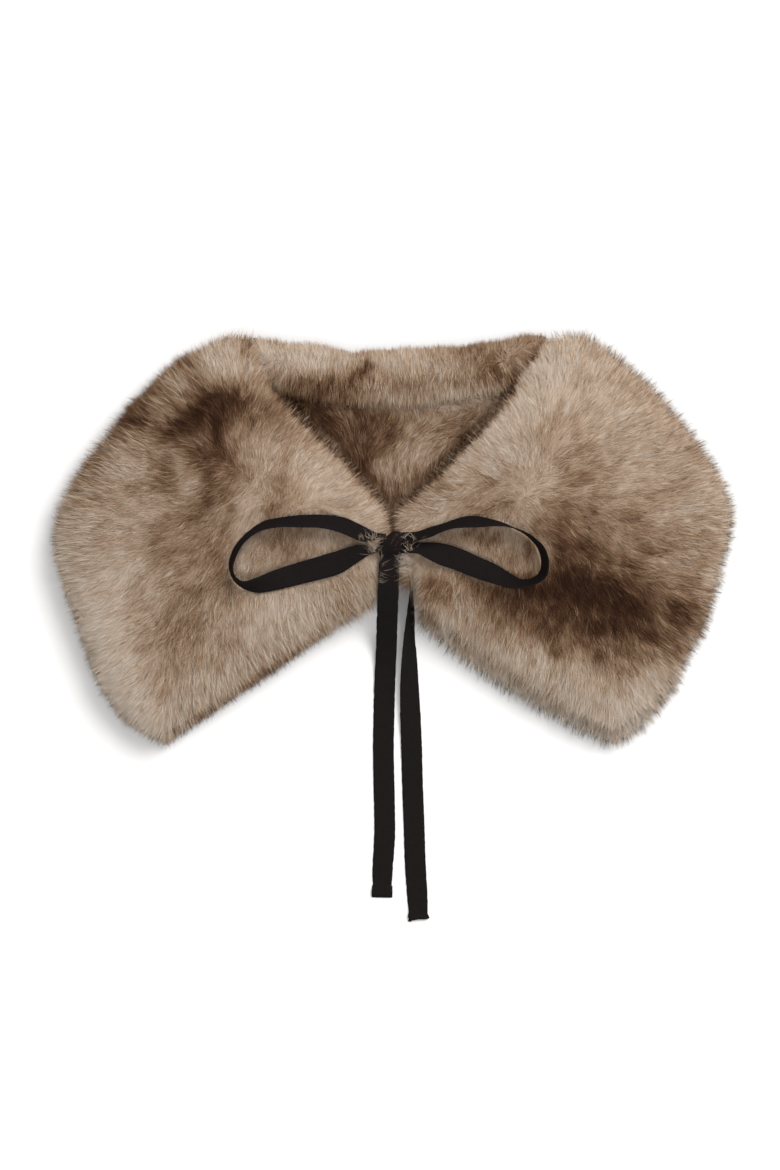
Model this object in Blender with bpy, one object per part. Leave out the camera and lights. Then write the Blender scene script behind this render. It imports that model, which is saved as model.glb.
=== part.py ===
"""Fur collar wrap tied with a tape bow, laid flat: one closed solid for each sewn piece.

The collar lies on the table at z = 0, its bow towards -Y and the back of its neck towards +Y.
Each fur piece is a solid as thick as its pile. Tables are in millimetres.
"""
import math

import bmesh
import bpy
import numpy as np
from mathutils import Vector, noise
from mathutils.bvhtree import BVHTree

MM = 0.001

# Gaps between pieces that touch on the real collar
SEAM_GAP = 0.35
LAYING_GAP = 0.6
TAPE_GAP = 0.5

# Fur
FACING_PILE = 11.0         # thickness of the facing fur, under a front's outer fur
FACING_NOSE = 6.0          # height of the facing's foremost line over what it lies on
FACING_ROUND = 8.0         # how far in from its edge the facing rounds over
FACING_FOOT = 6.0          # and how far in its underside rounds down
OUTER_NOSE = 4.0           # the same three for the outer fur, over the facing
OUTER_ROUND = 18.0
OUTER_FOOT = 6.0
RIM_HEIGHT = 0.8           # the narrow band between a solid's top and its underside
CLUMP_RELIEF = 1.5
EDGE_WAVE = 1.6            # how far the hem's outline waves in and out
WAVE_REACH = 30.0

# The back, which lies under both fronts
BACK_SLOPE = 0.9           # how steeply it thins out under a front
BACK_RIM = 1.0
BACK_AT_SEAM = 20.0        # its thickness at the neck seam
BACK_AT_FRONT = 15.0       # and at the bottom of the neck opening
BACK_EDGE_ROUND = 4.0
RIDGE_DIP = 1.2            # how much lower it is along the ridge between two of its slopes
RIDGE_REACH = 6.0
BACK_SEAM_Y = 140.0
BACK_FRONT_Y = 60.0
ROLL_FRONT_NOSE = 19.0
ROLL_TOP_NOSE = 8.0
ROLL_ROUND = 17.0
ROLL_END_FULLNESS = 3.0    # how much sooner the roll is at its full height from its ends
LEFT_FOOT_LINE = ((-89.0, 144.5), (0.2, 47.7))
RIGHT_FOOT_LINE = ((0.2, 47.7), (107.9, 165.5))
TOP_FOOT_LINE = ((102.0, 181.0), (-89.0, 158.1))

# Tape
TAPE_WIDTH = 13.0
TAPE_THICK = 0.9
HEM_TURN = 6.5             # length of a tail's turned hem
HEM_THICK = 2.0
KNOT_SIZE = (12.4, 12.8, 9.0)
KNOT_PLACE = (0.7, 52.2)

# Each row of a front runs from the neck opening to the hem. Row 0 is the front edge, the last
# row is at the back of the neck. Tops and noses are heights over the table, the lip is how far
# the facing reaches beyond the outer fur, and the bow is how far the section's middle stands
# out of the straight line, towards the front edge.
FRONT_COLUMNS = ("neck_x", "neck_y", "hem_x", "hem_y",
                 "neck_top", "hem_top", "neck_nose", "neck_round", "lip", "bow")
LEFT_FRONT = (
    (8.4, 26.8, -139.8, -75.0, 31.0, 27.0, 20.0, 12.0, 4.0, 0.0),
    (5.1, 38.4, -161.5, -63.2, 33.0, 29.0, 22.0, 8.0, 4.0, 0.0),
    (1.4, 50.8, -176.8, -47.0, 35.0, 31.0, 24.0, 7.0, 4.0, 0.5),
    (-0.9, 70.1, -187.5, -25.9, 38.0, 32.0, 27.0, 9.0, 4.0, 1.0),
    (-11.5, 84.3, -197.6, 1.2, 41.0, 33.0, 31.0, 14.0, 3.5, 0.0),
    (-25.1, 100.4, -206.9, 32.2, 43.0, 33.0, 32.0, 17.0, 3.0, 0.0),
    (-38.8, 114.7, -210.5, 61.0, 44.0, 33.0, 32.0, 18.0, 2.5, 0.0),
    (-51.1, 127.1, -200.0, 85.5, 45.0, 33.0, 32.0, 18.0, 2.0, 0.0),
    (-62.3, 137.6, -179.8, 114.3, 45.0, 33.0, 31.0, 18.0, 2.0, 0.0),
    (-72.8, 148.2, -157.4, 142.4, 44.0, 32.0, 29.0, 18.0, 2.0, 0.0),
    (-80.3, 156.9, -137.8, 163.0, 42.0, 31.0, 26.0, 16.0, 2.0, 0.0),
    (-84.6, 168.0, -119.8, 172.8, 39.0, 30.0, 22.0, 14.0, 2.0, 0.0),
    (-86.5, 179.2, -102.6, 180.4, 35.0, 28.0, 18.0, 10.0, 2.0, 0.0),
)
RIGHT_FRONT = (
    (16.6, 2.0, 137.4, -73.4, 29.0, 27.0, 18.0, 12.0, 8.0, 6.0),
    (14.9, 17.5, 147.2, -68.6, 31.0, 28.0, 20.0, 10.0, 8.0, 3.5),
    (10.8, 34.1, 157.4, -59.6, 33.0, 29.0, 22.0, 8.0, 6.0, 2.0),
    (3.4, 50.6, 168.3, -47.7, 35.0, 31.0, 24.0, 7.0, 4.0, 1.5),
    (0.9, 71.3, 181.7, -25.4, 38.0, 32.0, 27.0, 9.0, 3.5, 0.5),
    (12.7, 80.6, 192.8, -1.9, 41.0, 33.0, 31.0, 14.0, 3.0, 0.0),
    (24.5, 91.8, 203.3, 27.3, 43.0, 33.0, 32.0, 17.0, 2.5, 0.0),
    (36.9, 104.8, 210.2, 58.3, 44.0, 33.0, 32.0, 18.0, 2.5, 0.0),
    (48.7, 117.2, 209.0, 80.8, 45.0, 33.0, 32.0, 18.0, 2.0, 0.0),
    (60.5, 130.2, 192.6, 109.3, 45.0, 33.0, 31.0, 18.0, 2.0, 0.0),
    (71.6, 143.2, 170.4, 138.8, 44.0, 32.0, 29.0, 18.0, 2.0, 0.0),
    (82.2, 155.0, 149.6, 159.6, 42.0, 31.0, 26.0, 16.0, 2.0, 0.0),
    (91.5, 165.5, 133.6, 171.8, 39.0, 30.0, 22.0, 14.0, 2.0, 0.0),
    (97.7, 177.9, 120.0, 181.0, 35.0, 28.0, 18.0, 10.0, 2.0, 0.0),
)

# The neck roll, from left to right: its seam with the back, and its outer edge
ROLL_COLUMNS = ("seam_x", "seam_y", "edge_x", "edge_y", "top")
ROLL = (
    (-79.0, 156.4, -85.8, 179.6, 32.0),
    (-69.8, 148.8, -72.2, 178.6, 34.0),
    (-56.7, 143.8, -56.7, 176.7, 36.0),
    (-38.1, 141.4, -38.1, 174.2, 36.0),
    (-19.5, 140.1, -19.5, 171.7, 35.0),
    (5.3, 139.5, 5.3, 173.0, 35.5),
    (30.1, 141.4, 30.1, 174.2, 36.0),
    (51.8, 145.1, 51.8, 176.7, 36.0),
    (70.4, 150.0, 70.4, 179.2, 36.0),
    (81.5, 157.5, 82.8, 181.0, 34.0),
    (91.6, 167.0, 96.8, 181.7, 32.0),
)

# The inside of the back, from left to right: its seam with the roll, and its foot under a front
BACK_COLUMNS = ("seam_x", "seam_y", "foot_x", "foot_y")
BACK = (
    (-85.0, 155.6, -90.0, 147.0),
    (-79.0, 155.4, -86.0, 141.6),
    (-69.6, 147.9, -74.1, 128.3),
    (-56.7, 143.2, -58.6, 111.6),
    (-38.1, 140.8, -41.2, 92.7),
    (-19.5, 139.5, -23.9, 73.8),
    (-4.0, 138.9, -8.4, 57.0),
    (5.3, 138.9, 0.3, 48.4),
    (17.7, 139.5, 17.1, 66.3),
    (33.2, 141.0, 33.8, 84.6),
    (51.8, 144.5, 53.0, 105.7),
    (70.4, 149.3, 72.2, 126.5),
    (83.4, 156.5, 87.7, 143.5),
    (93.9, 167.8, 99.5, 156.2),
    (102.0, 169.6, 105.1, 162.4),
)

# The bow, from the knot round each loop and back to it: the tape's lower and its upper edge in
# plan, and how much of its slant it keeps. At the knot it is pinched, so it keeps none there.
LOOP_COLUMNS = ("low_x", "low_y", "high_x", "high_y", "slant")
LEFT_LOOP = (
    (-6.2, 56.4, -6.2, 53.4, 0.0),
    (-12.1, 59.2, -13.3, 52.1, 0.3),
    (-18.9, 62.6, -18.9, 52.7, 0.8),
    (-29.0, 67.0, -29.0, 57.0, 1.0),
    (-42.5, 68.8, -42.5, 60.6, 1.0),
    (-55.9, 68.5, -55.9, 61.1, 1.0),
    (-68.7, 67.0, -68.7, 61.1, 1.0),
    (-79.4, 64.3, -78.4, 59.5, 1.0),
    (-87.7, 58.6, -85.2, 56.1, 1.0),
    (-93.9, 52.5, -90.8, 50.8, 1.0),
    (-98.6, 43.4, -95.2, 42.8, 1.0),
    (-99.6, 36.6, -96.9, 36.3, 1.0),
    (-97.7, 30.7, -95.8, 31.9, 1.0),
    (-93.0, 25.4, -91.5, 28.8, 1.0),
    (-83.4, 21.7, -84.0, 30.4, 1.0),
    (-72.8, 22.6, -75.0, 34.2, 1.0),
    (-62.6, 24.9, -66.0, 37.3, 1.0),
    (-45.8, 29.0, -49.9, 42.2, 1.0),
    (-30.3, 33.7, -34.7, 46.7, 0.8),
    (-22.3, 39.1, -22.6, 50.2, 0.5),
    (-14.6, 44.3, -14.2, 50.6, 0.2),
    (-6.2, 47.6, -6.2, 51.2, 0.0),
)
RIGHT_LOOP = (
    (7.4, 56.2, 7.4, 53.2, 0.0),
    (13.3, 58.0, 14.6, 53.6, 0.3),
    (21.1, 61.0, 22.6, 55.5, 0.8),
    (30.6, 63.9, 31.9, 59.5, 1.0),
    (38.8, 66.7, 39.4, 61.4, 1.0),
    (45.8, 68.6, 46.2, 61.7, 1.0),
    (53.4, 68.6, 53.0, 61.8, 1.0),
    (60.9, 67.0, 60.5, 62.6, 1.0),
    (68.5, 64.8, 68.5, 62.5, 1.0),
    (74.8, 61.9, 74.7, 61.6, 1.0),
    (80.9, 58.6, 81.5, 59.2, 1.0),
    (86.5, 53.9, 88.0, 55.3, 1.0),
    (90.0, 49.6, 93.3, 50.5, 1.0),
    (92.1, 44.0, 96.4, 44.0, 1.0),
    (92.7, 38.8, 97.0, 37.8, 1.0),
    (91.1, 33.2, 95.5, 31.0, 1.0),
    (86.5, 29.8, 90.2, 26.7, 1.0),
    (79.9, 29.1, 81.8, 23.9, 1.0),
    (73.6, 32.5, 72.2, 23.9, 1.0),
    (67.3, 36.6, 63.5, 26.4, 1.0),
    (60.9, 40.2, 55.5, 28.8, 1.0),
    (53.4, 43.4, 47.4, 31.9, 1.0),
    (45.8, 47.1, 40.6, 34.7, 1.0),
    (38.1, 50.0, 33.8, 36.9, 1.0),
    (30.6, 51.6, 26.7, 39.7, 0.8),
    (23.4, 52.0, 20.5, 42.8, 0.5),
    (15.8, 51.4, 14.3, 46.4, 0.2),
    (7.4, 51.2, 7.4, 47.6, 0.0),
)

# The tails, from the knot down to the hem: the tape's edges in plan, and their heights
TAIL_COLUMNS = ("left_x", "left_y", "left_z", "right_x", "right_y", "right_z")
LEFT_TAIL = (
    (-6.6, 45.2, 37.6, 5.6, 45.2, 37.0),
    (-7.6, 40.3, 37.2, 5.2, 40.3, 36.6),
    (-8.1, 32.2, 35.6, 4.7, 32.2, 34.8),
    (-8.4, 22.9, 32.0, 4.5, 22.9, 30.4),
    (-8.9, 13.6, 25.0, 4.1, 13.6, 23.8),
    (-9.3, 1.2, 14.6, 3.7, 1.2, 14.2),
    (-9.6, -11.2, 6.6, 3.4, -11.2, 6.4),
    (-10.2, -23.6, 2.2, 2.8, -23.6, 2.2),
    (-10.8, -39.1, 0.6, 2.2, -39.1, 0.6),
    (-11.2, -57.7, 0.0, 1.8, -57.7, 0.0),
    (-11.5, -73.2, 0.0, 1.5, -73.2, 0.0),
    (-11.2, -94.9, 0.0, 1.8, -94.9, 0.0),
    (-10.8, -113.5, 0.0, 2.2, -113.5, 0.0),
    (-10.7, -129.0, 0.0, 2.3, -129.0, 0.0),
    (-11.3, -140.1, 0.0, 1.7, -140.1, 0.0),
    (-12.0, -150.7, 0.0, 1.0, -150.7, 0.0),
    (-12.2, -159.3, 0.0, 0.8, -159.3, 0.0),
    (-12.4, -168.0, 0.0, 0.6, -168.0, 0.0),
)
RIGHT_TAIL = (
    (7.6, 45.6, 38.0, 7.4, 45.6, 34.6),
    (8.6, 40.6, 39.0, 8.3, 40.6, 30.0),
    (10.0, 34.1, 37.8, 9.8, 34.1, 24.8),
    (11.0, 26.7, 32.0, 11.8, 26.7, 19.0),
    (10.8, 20.5, 25.4, 12.7, 20.5, 12.6),
    (10.0, 14.3, 19.0, 13.4, 14.3, 6.6),
    (8.7, 4.3, 12.2, 13.9, 5.0, 0.4),
    (7.3, -6.2, 11.1, 14.0, -6.2, 0.0),
    (6.3, -17.4, 9.5, 15.2, -17.4, 0.0),
    (5.2, -36.0, 6.2, 16.6, -36.0, 0.0),
    (5.2, -50.8, 3.4, 17.7, -50.8, 0.0),
    (5.9, -73.2, 0.6, 18.9, -73.2, 0.0),
    (6.5, -95.5, 0.0, 19.5, -95.5, 0.0),
    (7.6, -125.2, 0.0, 20.6, -125.2, 0.0),
    (8.3, -147.6, 0.0, 21.3, -146.9, 0.0),
    (9.2, -162.4, 0.0, 22.2, -161.2, 0.0),
    (9.8, -172.4, 0.0, 22.8, -171.1, 0.0),
    (10.3, -182.9, 0.0, 23.3, -181.6, 0.0),
)

# How close together a solid's rows and columns lie near an edge, and how many lie between
EDGE_STEPS = (0.0, 1.5, 5.0, 11.0, 19.0)
FRONT_GRID = (15, 21)
ROLL_GRID = (3, 26)
BACK_GRID = (7, 15)
TAPE_STATIONS = 64

CREAM = (0.52, 0.42, 0.33)
BROWN = (0.29, 0.21, 0.16)
TAPE_BLACK = (0.016, 0.013, 0.013)


def clear_scene():
    """Remove every object that the file opened with."""
    for thing in list(bpy.data.objects):
        bpy.data.objects.remove(thing, do_unlink=True)


def make_collection(name):
    """A collection of that name, in the scene."""
    collection = bpy.data.collections.new(name)
    bpy.context.scene.collection.children.link(collection)
    return collection


def make_material(name, colour, roughness):
    """A plain Principled material."""
    material = bpy.data.materials.new(name)
    material.use_nodes = True
    shader = material.node_tree.nodes["Principled BSDF"]
    shader.inputs["Base Color"].default_value = (*colour, 1.0)
    shader.inputs["Roughness"].default_value = roughness
    shader.inputs["Metallic"].default_value = 0.0
    return material


def add_object(collection, name, bm, material):
    """Turn a finished bmesh, in millimetres, into an object in metres."""
    bmesh.ops.scale(bm, vec=(MM, MM, MM), verts=bm.verts)
    bmesh.ops.recalc_face_normals(bm, faces=bm.faces)
    mesh = bpy.data.meshes.new(name)
    bm.to_mesh(mesh)
    bm.free()
    mesh.materials.append(material)
    thing = bpy.data.objects.new(name, mesh)
    collection.objects.link(thing)
    return thing


def row_places(table, columns):
    """How far along each row of a table lies, by the way its section's two ends have moved.

    A section's ends are the columns named _x and _y.
    """
    ends = np.array(table)[:, [name.endswith(("_x", "_y")) for name in columns]]
    middles = (ends[:, :2] + ends[:, 2:]) / 2
    steps = np.linalg.norm(np.diff(middles, axis=0), axis=1)
    spread = np.linalg.norm(np.diff(ends, axis=0), axis=1)
    return np.concatenate([[0.0], np.cumsum(np.maximum(steps, spread / 2))])


def curve_through(table, columns, wanted):
    """Each column of a table as a smooth curve, at wanted distances along its rows."""
    rows = np.array(table)
    places = row_places(table, columns)
    slopes = np.gradient(rows, places, axis=0)
    wanted = np.clip(wanted, 0.0, places[-1])
    before = np.clip(np.searchsorted(places, wanted, side="right") - 1, 0, len(rows) - 2)
    gap = (places[before + 1] - places[before])[:, None]
    t = ((wanted - places[before])[:, None]) / gap
    curve = ((2 * t**3 - 3 * t**2 + 1) * rows[before]
             + (t**3 - 2 * t**2 + t) * gap * slopes[before]
             + (-2 * t**3 + 3 * t**2) * rows[before + 1]
             + (t**3 - t**2) * gap * slopes[before + 1])
    return {name: curve[:, i] for i, name in enumerate(columns)}


def spacing(length, between):
    """Distances along a length: close together at both ends, even between."""
    near = np.array(EDGE_STEPS) * min(1.0, length / (3.0 * EDGE_STEPS[-1]))
    middle = np.linspace(near[-1], length - near[-1], between)
    return np.concatenate([near[:-1], middle, (length - near[:-1])[::-1]])


def ease(t):
    """A smooth step from 0 to 1."""
    t = np.clip(t, 0.0, 1.0)
    return t * t * (3.0 - 2.0 * t)


def rounded(distance, radius):
    """How far a quarter-round edge has risen at a distance from its foremost line, 0 to 1."""
    return np.sqrt(np.maximum(0.0, 1.0 - (1.0 - np.clip(distance / radius, 0.0, 1.0)) ** 2))


def waves(x, y, length, seed):
    """Smooth hills and hollows between -1 and 1, with a given length."""
    places = zip(np.ravel(x), np.ravel(y))
    hills = [noise.noise(Vector((px / length, py / length, seed))) for px, py in places]
    return np.array(hills).reshape(np.shape(x)) * 1.6


def tufts(x, y, seed):
    """The fur's relief: broad hills, and shallow troughs between its clumps."""
    troughs = 1.0 - np.abs(waves(x, y, 26.0, seed + 4.0)) * 2.0
    return CLUMP_RELIEF * (waves(x, y, 34.0, seed) - 0.6 * np.clip(troughs, 0.0, 1.0))


def edge_distance(x, y):
    """How far each vertex of a grid lies from the grid's outline, in plan."""
    ring_x = np.concatenate([x[0, :-1], x[:-1, -1], x[-1, :0:-1], x[:0:-1, 0]])
    ring_y = np.concatenate([y[0, :-1], y[:-1, -1], y[-1, :0:-1], y[:0:-1, 0]])
    start = np.stack([ring_x, ring_y], axis=1)
    side = np.roll(start, -1, axis=0) - start
    point = np.stack([x.ravel(), y.ravel()], axis=1)
    away = point[:, None, :] - start[None, :, :]
    along = (away * side).sum(axis=2) / np.maximum((side * side).sum(axis=1), 1e-9)
    nearest = away - np.clip(along, 0.0, 1.0)[:, :, None] * side
    return np.linalg.norm(nearest, axis=2).min(axis=1).reshape(x.shape)


def inside_line(line, x, y):
    """Signed distance from a line in plan, positive on its left."""
    (ax, ay), (bx, by) = line
    length = math.hypot(bx - ax, by - ay)
    return ((bx - ax) * (y - ay) - (by - ay) * (x - ax)) / length


def foot_plane(line, x, y):
    """The slope that the back thins out along, rising from one of its foot lines."""
    return BACK_RIM + BACK_SLOPE * inside_line(line, x, y)


def under_front(foot_line, x, y):
    """What a front lies on: the back where it runs under, and the table elsewhere."""
    back = np.minimum(foot_plane(foot_line, x, y), foot_plane(TOP_FOOT_LINE, x, y))
    return np.maximum(0.0, back + LAYING_GAP)


def closed_solid(x, y, top, bottom):
    """A closed bmesh between two height fields over one grid of plan points."""
    bm = bmesh.new()
    rows, columns = x.shape
    bmesh.ops.create_grid(bm, x_segments=columns - 1, y_segments=rows - 1, size=0.5)
    copied = bmesh.ops.duplicate(bm, geom=bm.verts[:] + bm.edges[:] + bm.faces[:])
    below = {item for item in copied["geom"] if isinstance(item, bmesh.types.BMVert)}
    for vert in bm.verts:
        column = round((vert.co.x + 0.5) * (columns - 1))
        row = round((vert.co.y + 0.5) * (rows - 1))
        height = bottom if vert in below else top
        vert.co = (x[row, column], y[row, column], height[row, column])
    rims = [edge for edge in bm.edges if edge.is_boundary]
    bmesh.ops.bridge_loops(bm, edges=rims)
    return bm


def pulled_in(distance, lip):
    """A distance from an edge, moved in by a lip at the edge and less and less behind it."""
    reach = EDGE_STEPS[-1]
    return distance + lip * np.maximum(0.0, 1.0 - distance / reach)


def section_points(row, start, end):
    """The plan positions of the two ends of each section, as columns."""
    return [row[name + axis][:, None] for name in (start, end) for axis in ("_x", "_y")]


def front_points(table, lipped):
    """Plan points of a front's facing, or of its outer fur, which is pulled in by the lip."""
    between_columns, between_rows = FRONT_GRID
    length = row_places(table, FRONT_COLUMNS)[-1]
    from_front = spacing(length, between_rows)
    row = curve_through(table, FRONT_COLUMNS, from_front)
    widths = np.hypot(row["hem_x"] - row["neck_x"], row["hem_y"] - row["neck_y"])[:, None]
    from_hem = widths - np.array([spacing(width, between_columns) for width in widths[:, 0]])
    if lipped:
        from_hem = pulled_in(from_hem, row["lip"][:, None])
        moved = pulled_in(from_front, row["lip"][0])
        row = curve_through(table, FRONT_COLUMNS, moved)
    across = 1.0 - from_hem / widths
    neck_x, neck_y, hem_x, hem_y = section_points(row, "neck", "hem")
    wave = EDGE_WAVE * ease(1.0 - from_hem / WAVE_REACH) * ease(widths / (2.0 * WAVE_REACH))
    hills = waves(neck_x + (hem_x - neck_x) * across, from_front[:, None] + 0.0 * across, 22.0, 3.0)
    across = across + wave * hills / widths
    side = math.copysign(1.0, -table[0][FRONT_COLUMNS.index("hem_x")])
    out = side * row["bow"][:, None] * 4.0 * across * (1.0 - across) / widths
    x = neck_x + (hem_x - neck_x) * across - (hem_y - neck_y) * out
    y = neck_y + (hem_y - neck_y) * across + (hem_x - neck_x) * out
    return x, y, across, {name: value[:, None] for name, value in row.items()}


def make_front(collection, side, table, foot_line, seed, materials):
    """A front: its facing fur below, and its outer fur on that."""
    x, y = front_points(table, lipped=False)[:2]
    ground = under_front(foot_line, x, y)
    distance = edge_distance(x, y)
    nose = ground + FACING_NOSE
    upper = ground + FACING_PILE - SEAM_GAP / 2
    top = nose + RIM_HEIGHT / 2 + (upper - nose - RIM_HEIGHT / 2) * rounded(distance, FACING_ROUND)
    low = nose - RIM_HEIGHT / 2
    bottom = low + (ground - low) * rounded(distance, FACING_FOOT)
    bm = closed_solid(x, y, top, bottom)
    add_object(collection, side + "_front_inner", bm, materials["inner"])

    x, y, across, row = front_points(table, lipped=True)
    layer = under_front(foot_line, x, y) + FACING_PILE + SEAM_GAP / 2
    distance = edge_distance(x, y)
    to_hem = ease(across)
    crown = row["neck_top"] + (row["hem_top"] - row["neck_top"]) * to_hem
    crown = crown + tufts(x, y, seed)
    at_neck = np.maximum(row["neck_nose"], layer + OUTER_NOSE)
    nose = at_neck + (layer + OUTER_NOSE - at_neck) * ease(across * 3.0)
    radius = row["neck_round"] + (OUTER_ROUND - row["neck_round"]) * ease(across * 3.0)
    top = nose + RIM_HEIGHT / 2 + (crown - nose) * rounded(distance, radius)
    low = nose - RIM_HEIGHT / 2
    bottom = low + (layer - low) * rounded(distance, OUTER_FOOT)
    bm = closed_solid(x, y, top, bottom)
    return add_object(collection, side + "_front_outer", bm, materials["outer"])


def strip_points(table, columns, end, grid):
    """Plan points of a strip, from its seam across to its other end, and its rows' values."""
    between_columns, between_rows = grid
    from_left = spacing(row_places(table, columns)[-1], between_rows)
    row = curve_through(table, columns, from_left)
    seam_x, seam_y, end_x, end_y = section_points(row, "seam", end)
    widths = np.hypot(end_x - seam_x, end_y - seam_y)[:, 0]
    across = np.array([spacing(width, between_columns) / width for width in widths])
    x = seam_x + (end_x - seam_x) * across
    y = seam_y + (end_y - seam_y) * across
    return x, y, across, row, from_left


def make_roll(collection, material):
    """The outer fur rolled over the back of the neck."""
    x, y, across, row, from_left = strip_points(ROLL, ROLL_COLUMNS, "edge", ROLL_GRID)
    widths = np.hypot(row["edge_x"] - row["seam_x"], row["edge_y"] - row["seam_y"])
    y = y + EDGE_WAVE * ease(across) * waves(x, 0 * y, 18.0, 5.0)
    from_side = np.minimum(across, 1.0 - across) * widths[:, None]
    from_end = np.minimum(from_left, from_left[-1] - from_left)[:, None]
    distance = np.minimum(from_side, from_end * ROLL_END_FULLNESS)
    nose = ROLL_FRONT_NOSE + (ROLL_TOP_NOSE - ROLL_FRONT_NOSE) * ease(across)
    crown = row["top"][:, None] + tufts(x, y, 7.0)
    top = nose + RIM_HEIGHT / 2 + (crown - nose) * rounded(distance, ROLL_ROUND)
    bottom = (nose - RIM_HEIGHT / 2) * (1.0 - rounded(distance, FACING_FOOT))
    return add_object(collection, "back_outer", closed_solid(x, y, top, bottom), material)


def make_back(collection, material):
    """The inside fur of the back, seen in the neck opening and thinning out under the fronts."""
    x, y = strip_points(BACK, BACK_COLUMNS, "foot", BACK_GRID)[:2]
    rise = (y - BACK_FRONT_Y) / (BACK_SEAM_Y - BACK_FRONT_Y)
    crown = BACK_AT_FRONT + (BACK_AT_SEAM - BACK_AT_FRONT) * rise
    crown = crown - np.abs(tufts(x, y, 9.0))
    lines = (LEFT_FOOT_LINE, RIGHT_FOOT_LINE, TOP_FOOT_LINE)
    planes = np.sort([foot_plane(line, x, y) for line in lines], axis=0)
    ridge = ease(1.0 - (planes[1] - planes[0]) / RIDGE_REACH)
    crown = np.minimum(crown, planes[0] - RIDGE_DIP * ridge)
    crown = np.maximum(crown, 0.8 * BACK_RIM)
    to_edge = 1.0 - rounded(edge_distance(x, y), BACK_EDGE_ROUND)
    top = crown - 0.35 * (crown - BACK_RIM) * to_edge
    bottom = 0.25 * BACK_RIM * to_edge
    return add_object(collection, "back_inner", closed_solid(x, y, top, bottom), material)


def tree_of(*things):
    """One search tree, in millimetres, over the faces of several objects."""
    points, faces = [], []
    for thing in things:
        base = len(points)
        points += [vert.co / MM for vert in thing.data.vertices]
        faces += [[base + i for i in face.vertices] for face in thing.data.polygons]
    return BVHTree.FromPolygons(points, faces)


def highest(tree, x, y):
    """The highest point of the fur within half a tape's edge of a place in plan."""
    found = 0.0
    for side_x, side_y in ((0, 0), (2, 0), (-2, 0), (0, 2), (0, -2)):
        hit = tree.ray_cast(Vector((x + side_x, y + side_y, 200.0)), Vector((0, 0, -1)))[0]
        if hit is not None:
            found = max(found, hit.z)
    return found


def tape_solid(one_edge, other_edge, thickness):
    """A closed strip of tape between two edges, with a thickness at each station."""
    along = np.gradient(one_edge + other_edge, axis=0)
    over = np.cross(other_edge - one_edge, along)
    over /= np.linalg.norm(over, axis=1)[:, None]
    over *= np.sign(np.median(over[:, 2]))
    middle = (one_edge + other_edge) / 2
    lift = over * thickness[:, None]
    ring = np.stack([one_edge, middle, other_edge,
                     other_edge + lift, middle + lift, one_edge + lift], axis=1)
    bm = bmesh.new()
    loops = [[bm.verts.new(point) for point in station] for station in ring]
    for here, ahead in zip(loops, loops[1:]):
        for i in range(6):
            j = (i + 1) % 6
            bm.faces.new((here[i], here[j], ahead[j], ahead[i]))
    bm.faces.new(loops[0])
    bm.faces.new(loops[-1])
    return bm


def smoothed(values, passes):
    """Values evened out along their length, never lower than they were."""
    result = values.copy()
    for _ in range(passes):
        mean = result.copy()
        mean[1:-1] = (result[:-2] + 2 * result[1:-1] + result[2:]) / 4
        result = np.maximum(mean, values)
    return result


def make_loop(collection, name, table, fur, material):
    """One loop of the bow, resting on the fur by its lower edge."""
    stations = np.linspace(0.0, row_places(table, LOOP_COLUMNS)[-1], TAPE_STATIONS)
    row = curve_through(table, LOOP_COLUMNS, stations)
    plan = np.hypot(row["high_x"] - row["low_x"], row["high_y"] - row["low_y"])
    rise = row["slant"] * np.sqrt(np.maximum(0.0, TAPE_WIDTH**2 - plan**2))
    under_low = [highest(fur, x, y) for x, y in zip(row["low_x"], row["low_y"])]
    under_high = [highest(fur, x, y) for x, y in zip(row["high_x"], row["high_y"])]
    low = smoothed(np.array(under_low) + TAPE_GAP, 12)
    high = smoothed(np.maximum(low + rise, np.array(under_high) + TAPE_GAP), 2)
    lower = np.stack([row["low_x"], row["low_y"], low], axis=1)
    upper = np.stack([row["high_x"], row["high_y"], high], axis=1)
    bm = tape_solid(lower, upper, np.full(TAPE_STATIONS, TAPE_THICK))
    return add_object(collection, name, bm, material)


def make_tail(collection, name, table, material):
    """One tail, down over the fur's edge and along the table to its turned hem."""
    length = row_places(table, TAIL_COLUMNS)[-1]
    hem_start = length - HEM_TURN
    single = np.linspace(0.0, hem_start - HEM_THICK / 4.0, TAPE_STATIONS - 2)
    stations = np.concatenate([single, [hem_start, length]])
    row = curve_through(table, TAIL_COLUMNS, stations)
    left = np.stack([row["left_x"], row["left_y"], np.maximum(row["left_z"], 0.0)], axis=1)
    right = np.stack([row["right_x"], row["right_y"], np.maximum(row["right_z"], 0.0)], axis=1)
    thickness = np.where(stations >= hem_start, HEM_THICK, TAPE_THICK)
    return add_object(collection, name, tape_solid(left, right, thickness), material)


def make_knot(collection, fur, material):
    """The bow's knot: a small rounded pad of tape."""
    x, y = KNOT_PLACE
    bm = bmesh.new()
    bmesh.ops.create_uvsphere(bm, u_segments=20, v_segments=10, radius=0.5)
    for vert in bm.verts:
        squared = Vector([math.copysign(abs(2.0 * c) ** 0.6, c) / 2.0 for c in vert.co])
        vert.co = Vector([size * c for size, c in zip(KNOT_SIZE, squared)])
    lowest = max(highest(fur, x + vert.co.x, y + vert.co.y) - vert.co.z for vert in bm.verts)
    bmesh.ops.translate(bm, vec=(x, y, lowest + TAPE_GAP), verts=bm.verts)
    return add_object(collection, "tape_knot", bm, material)


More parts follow.
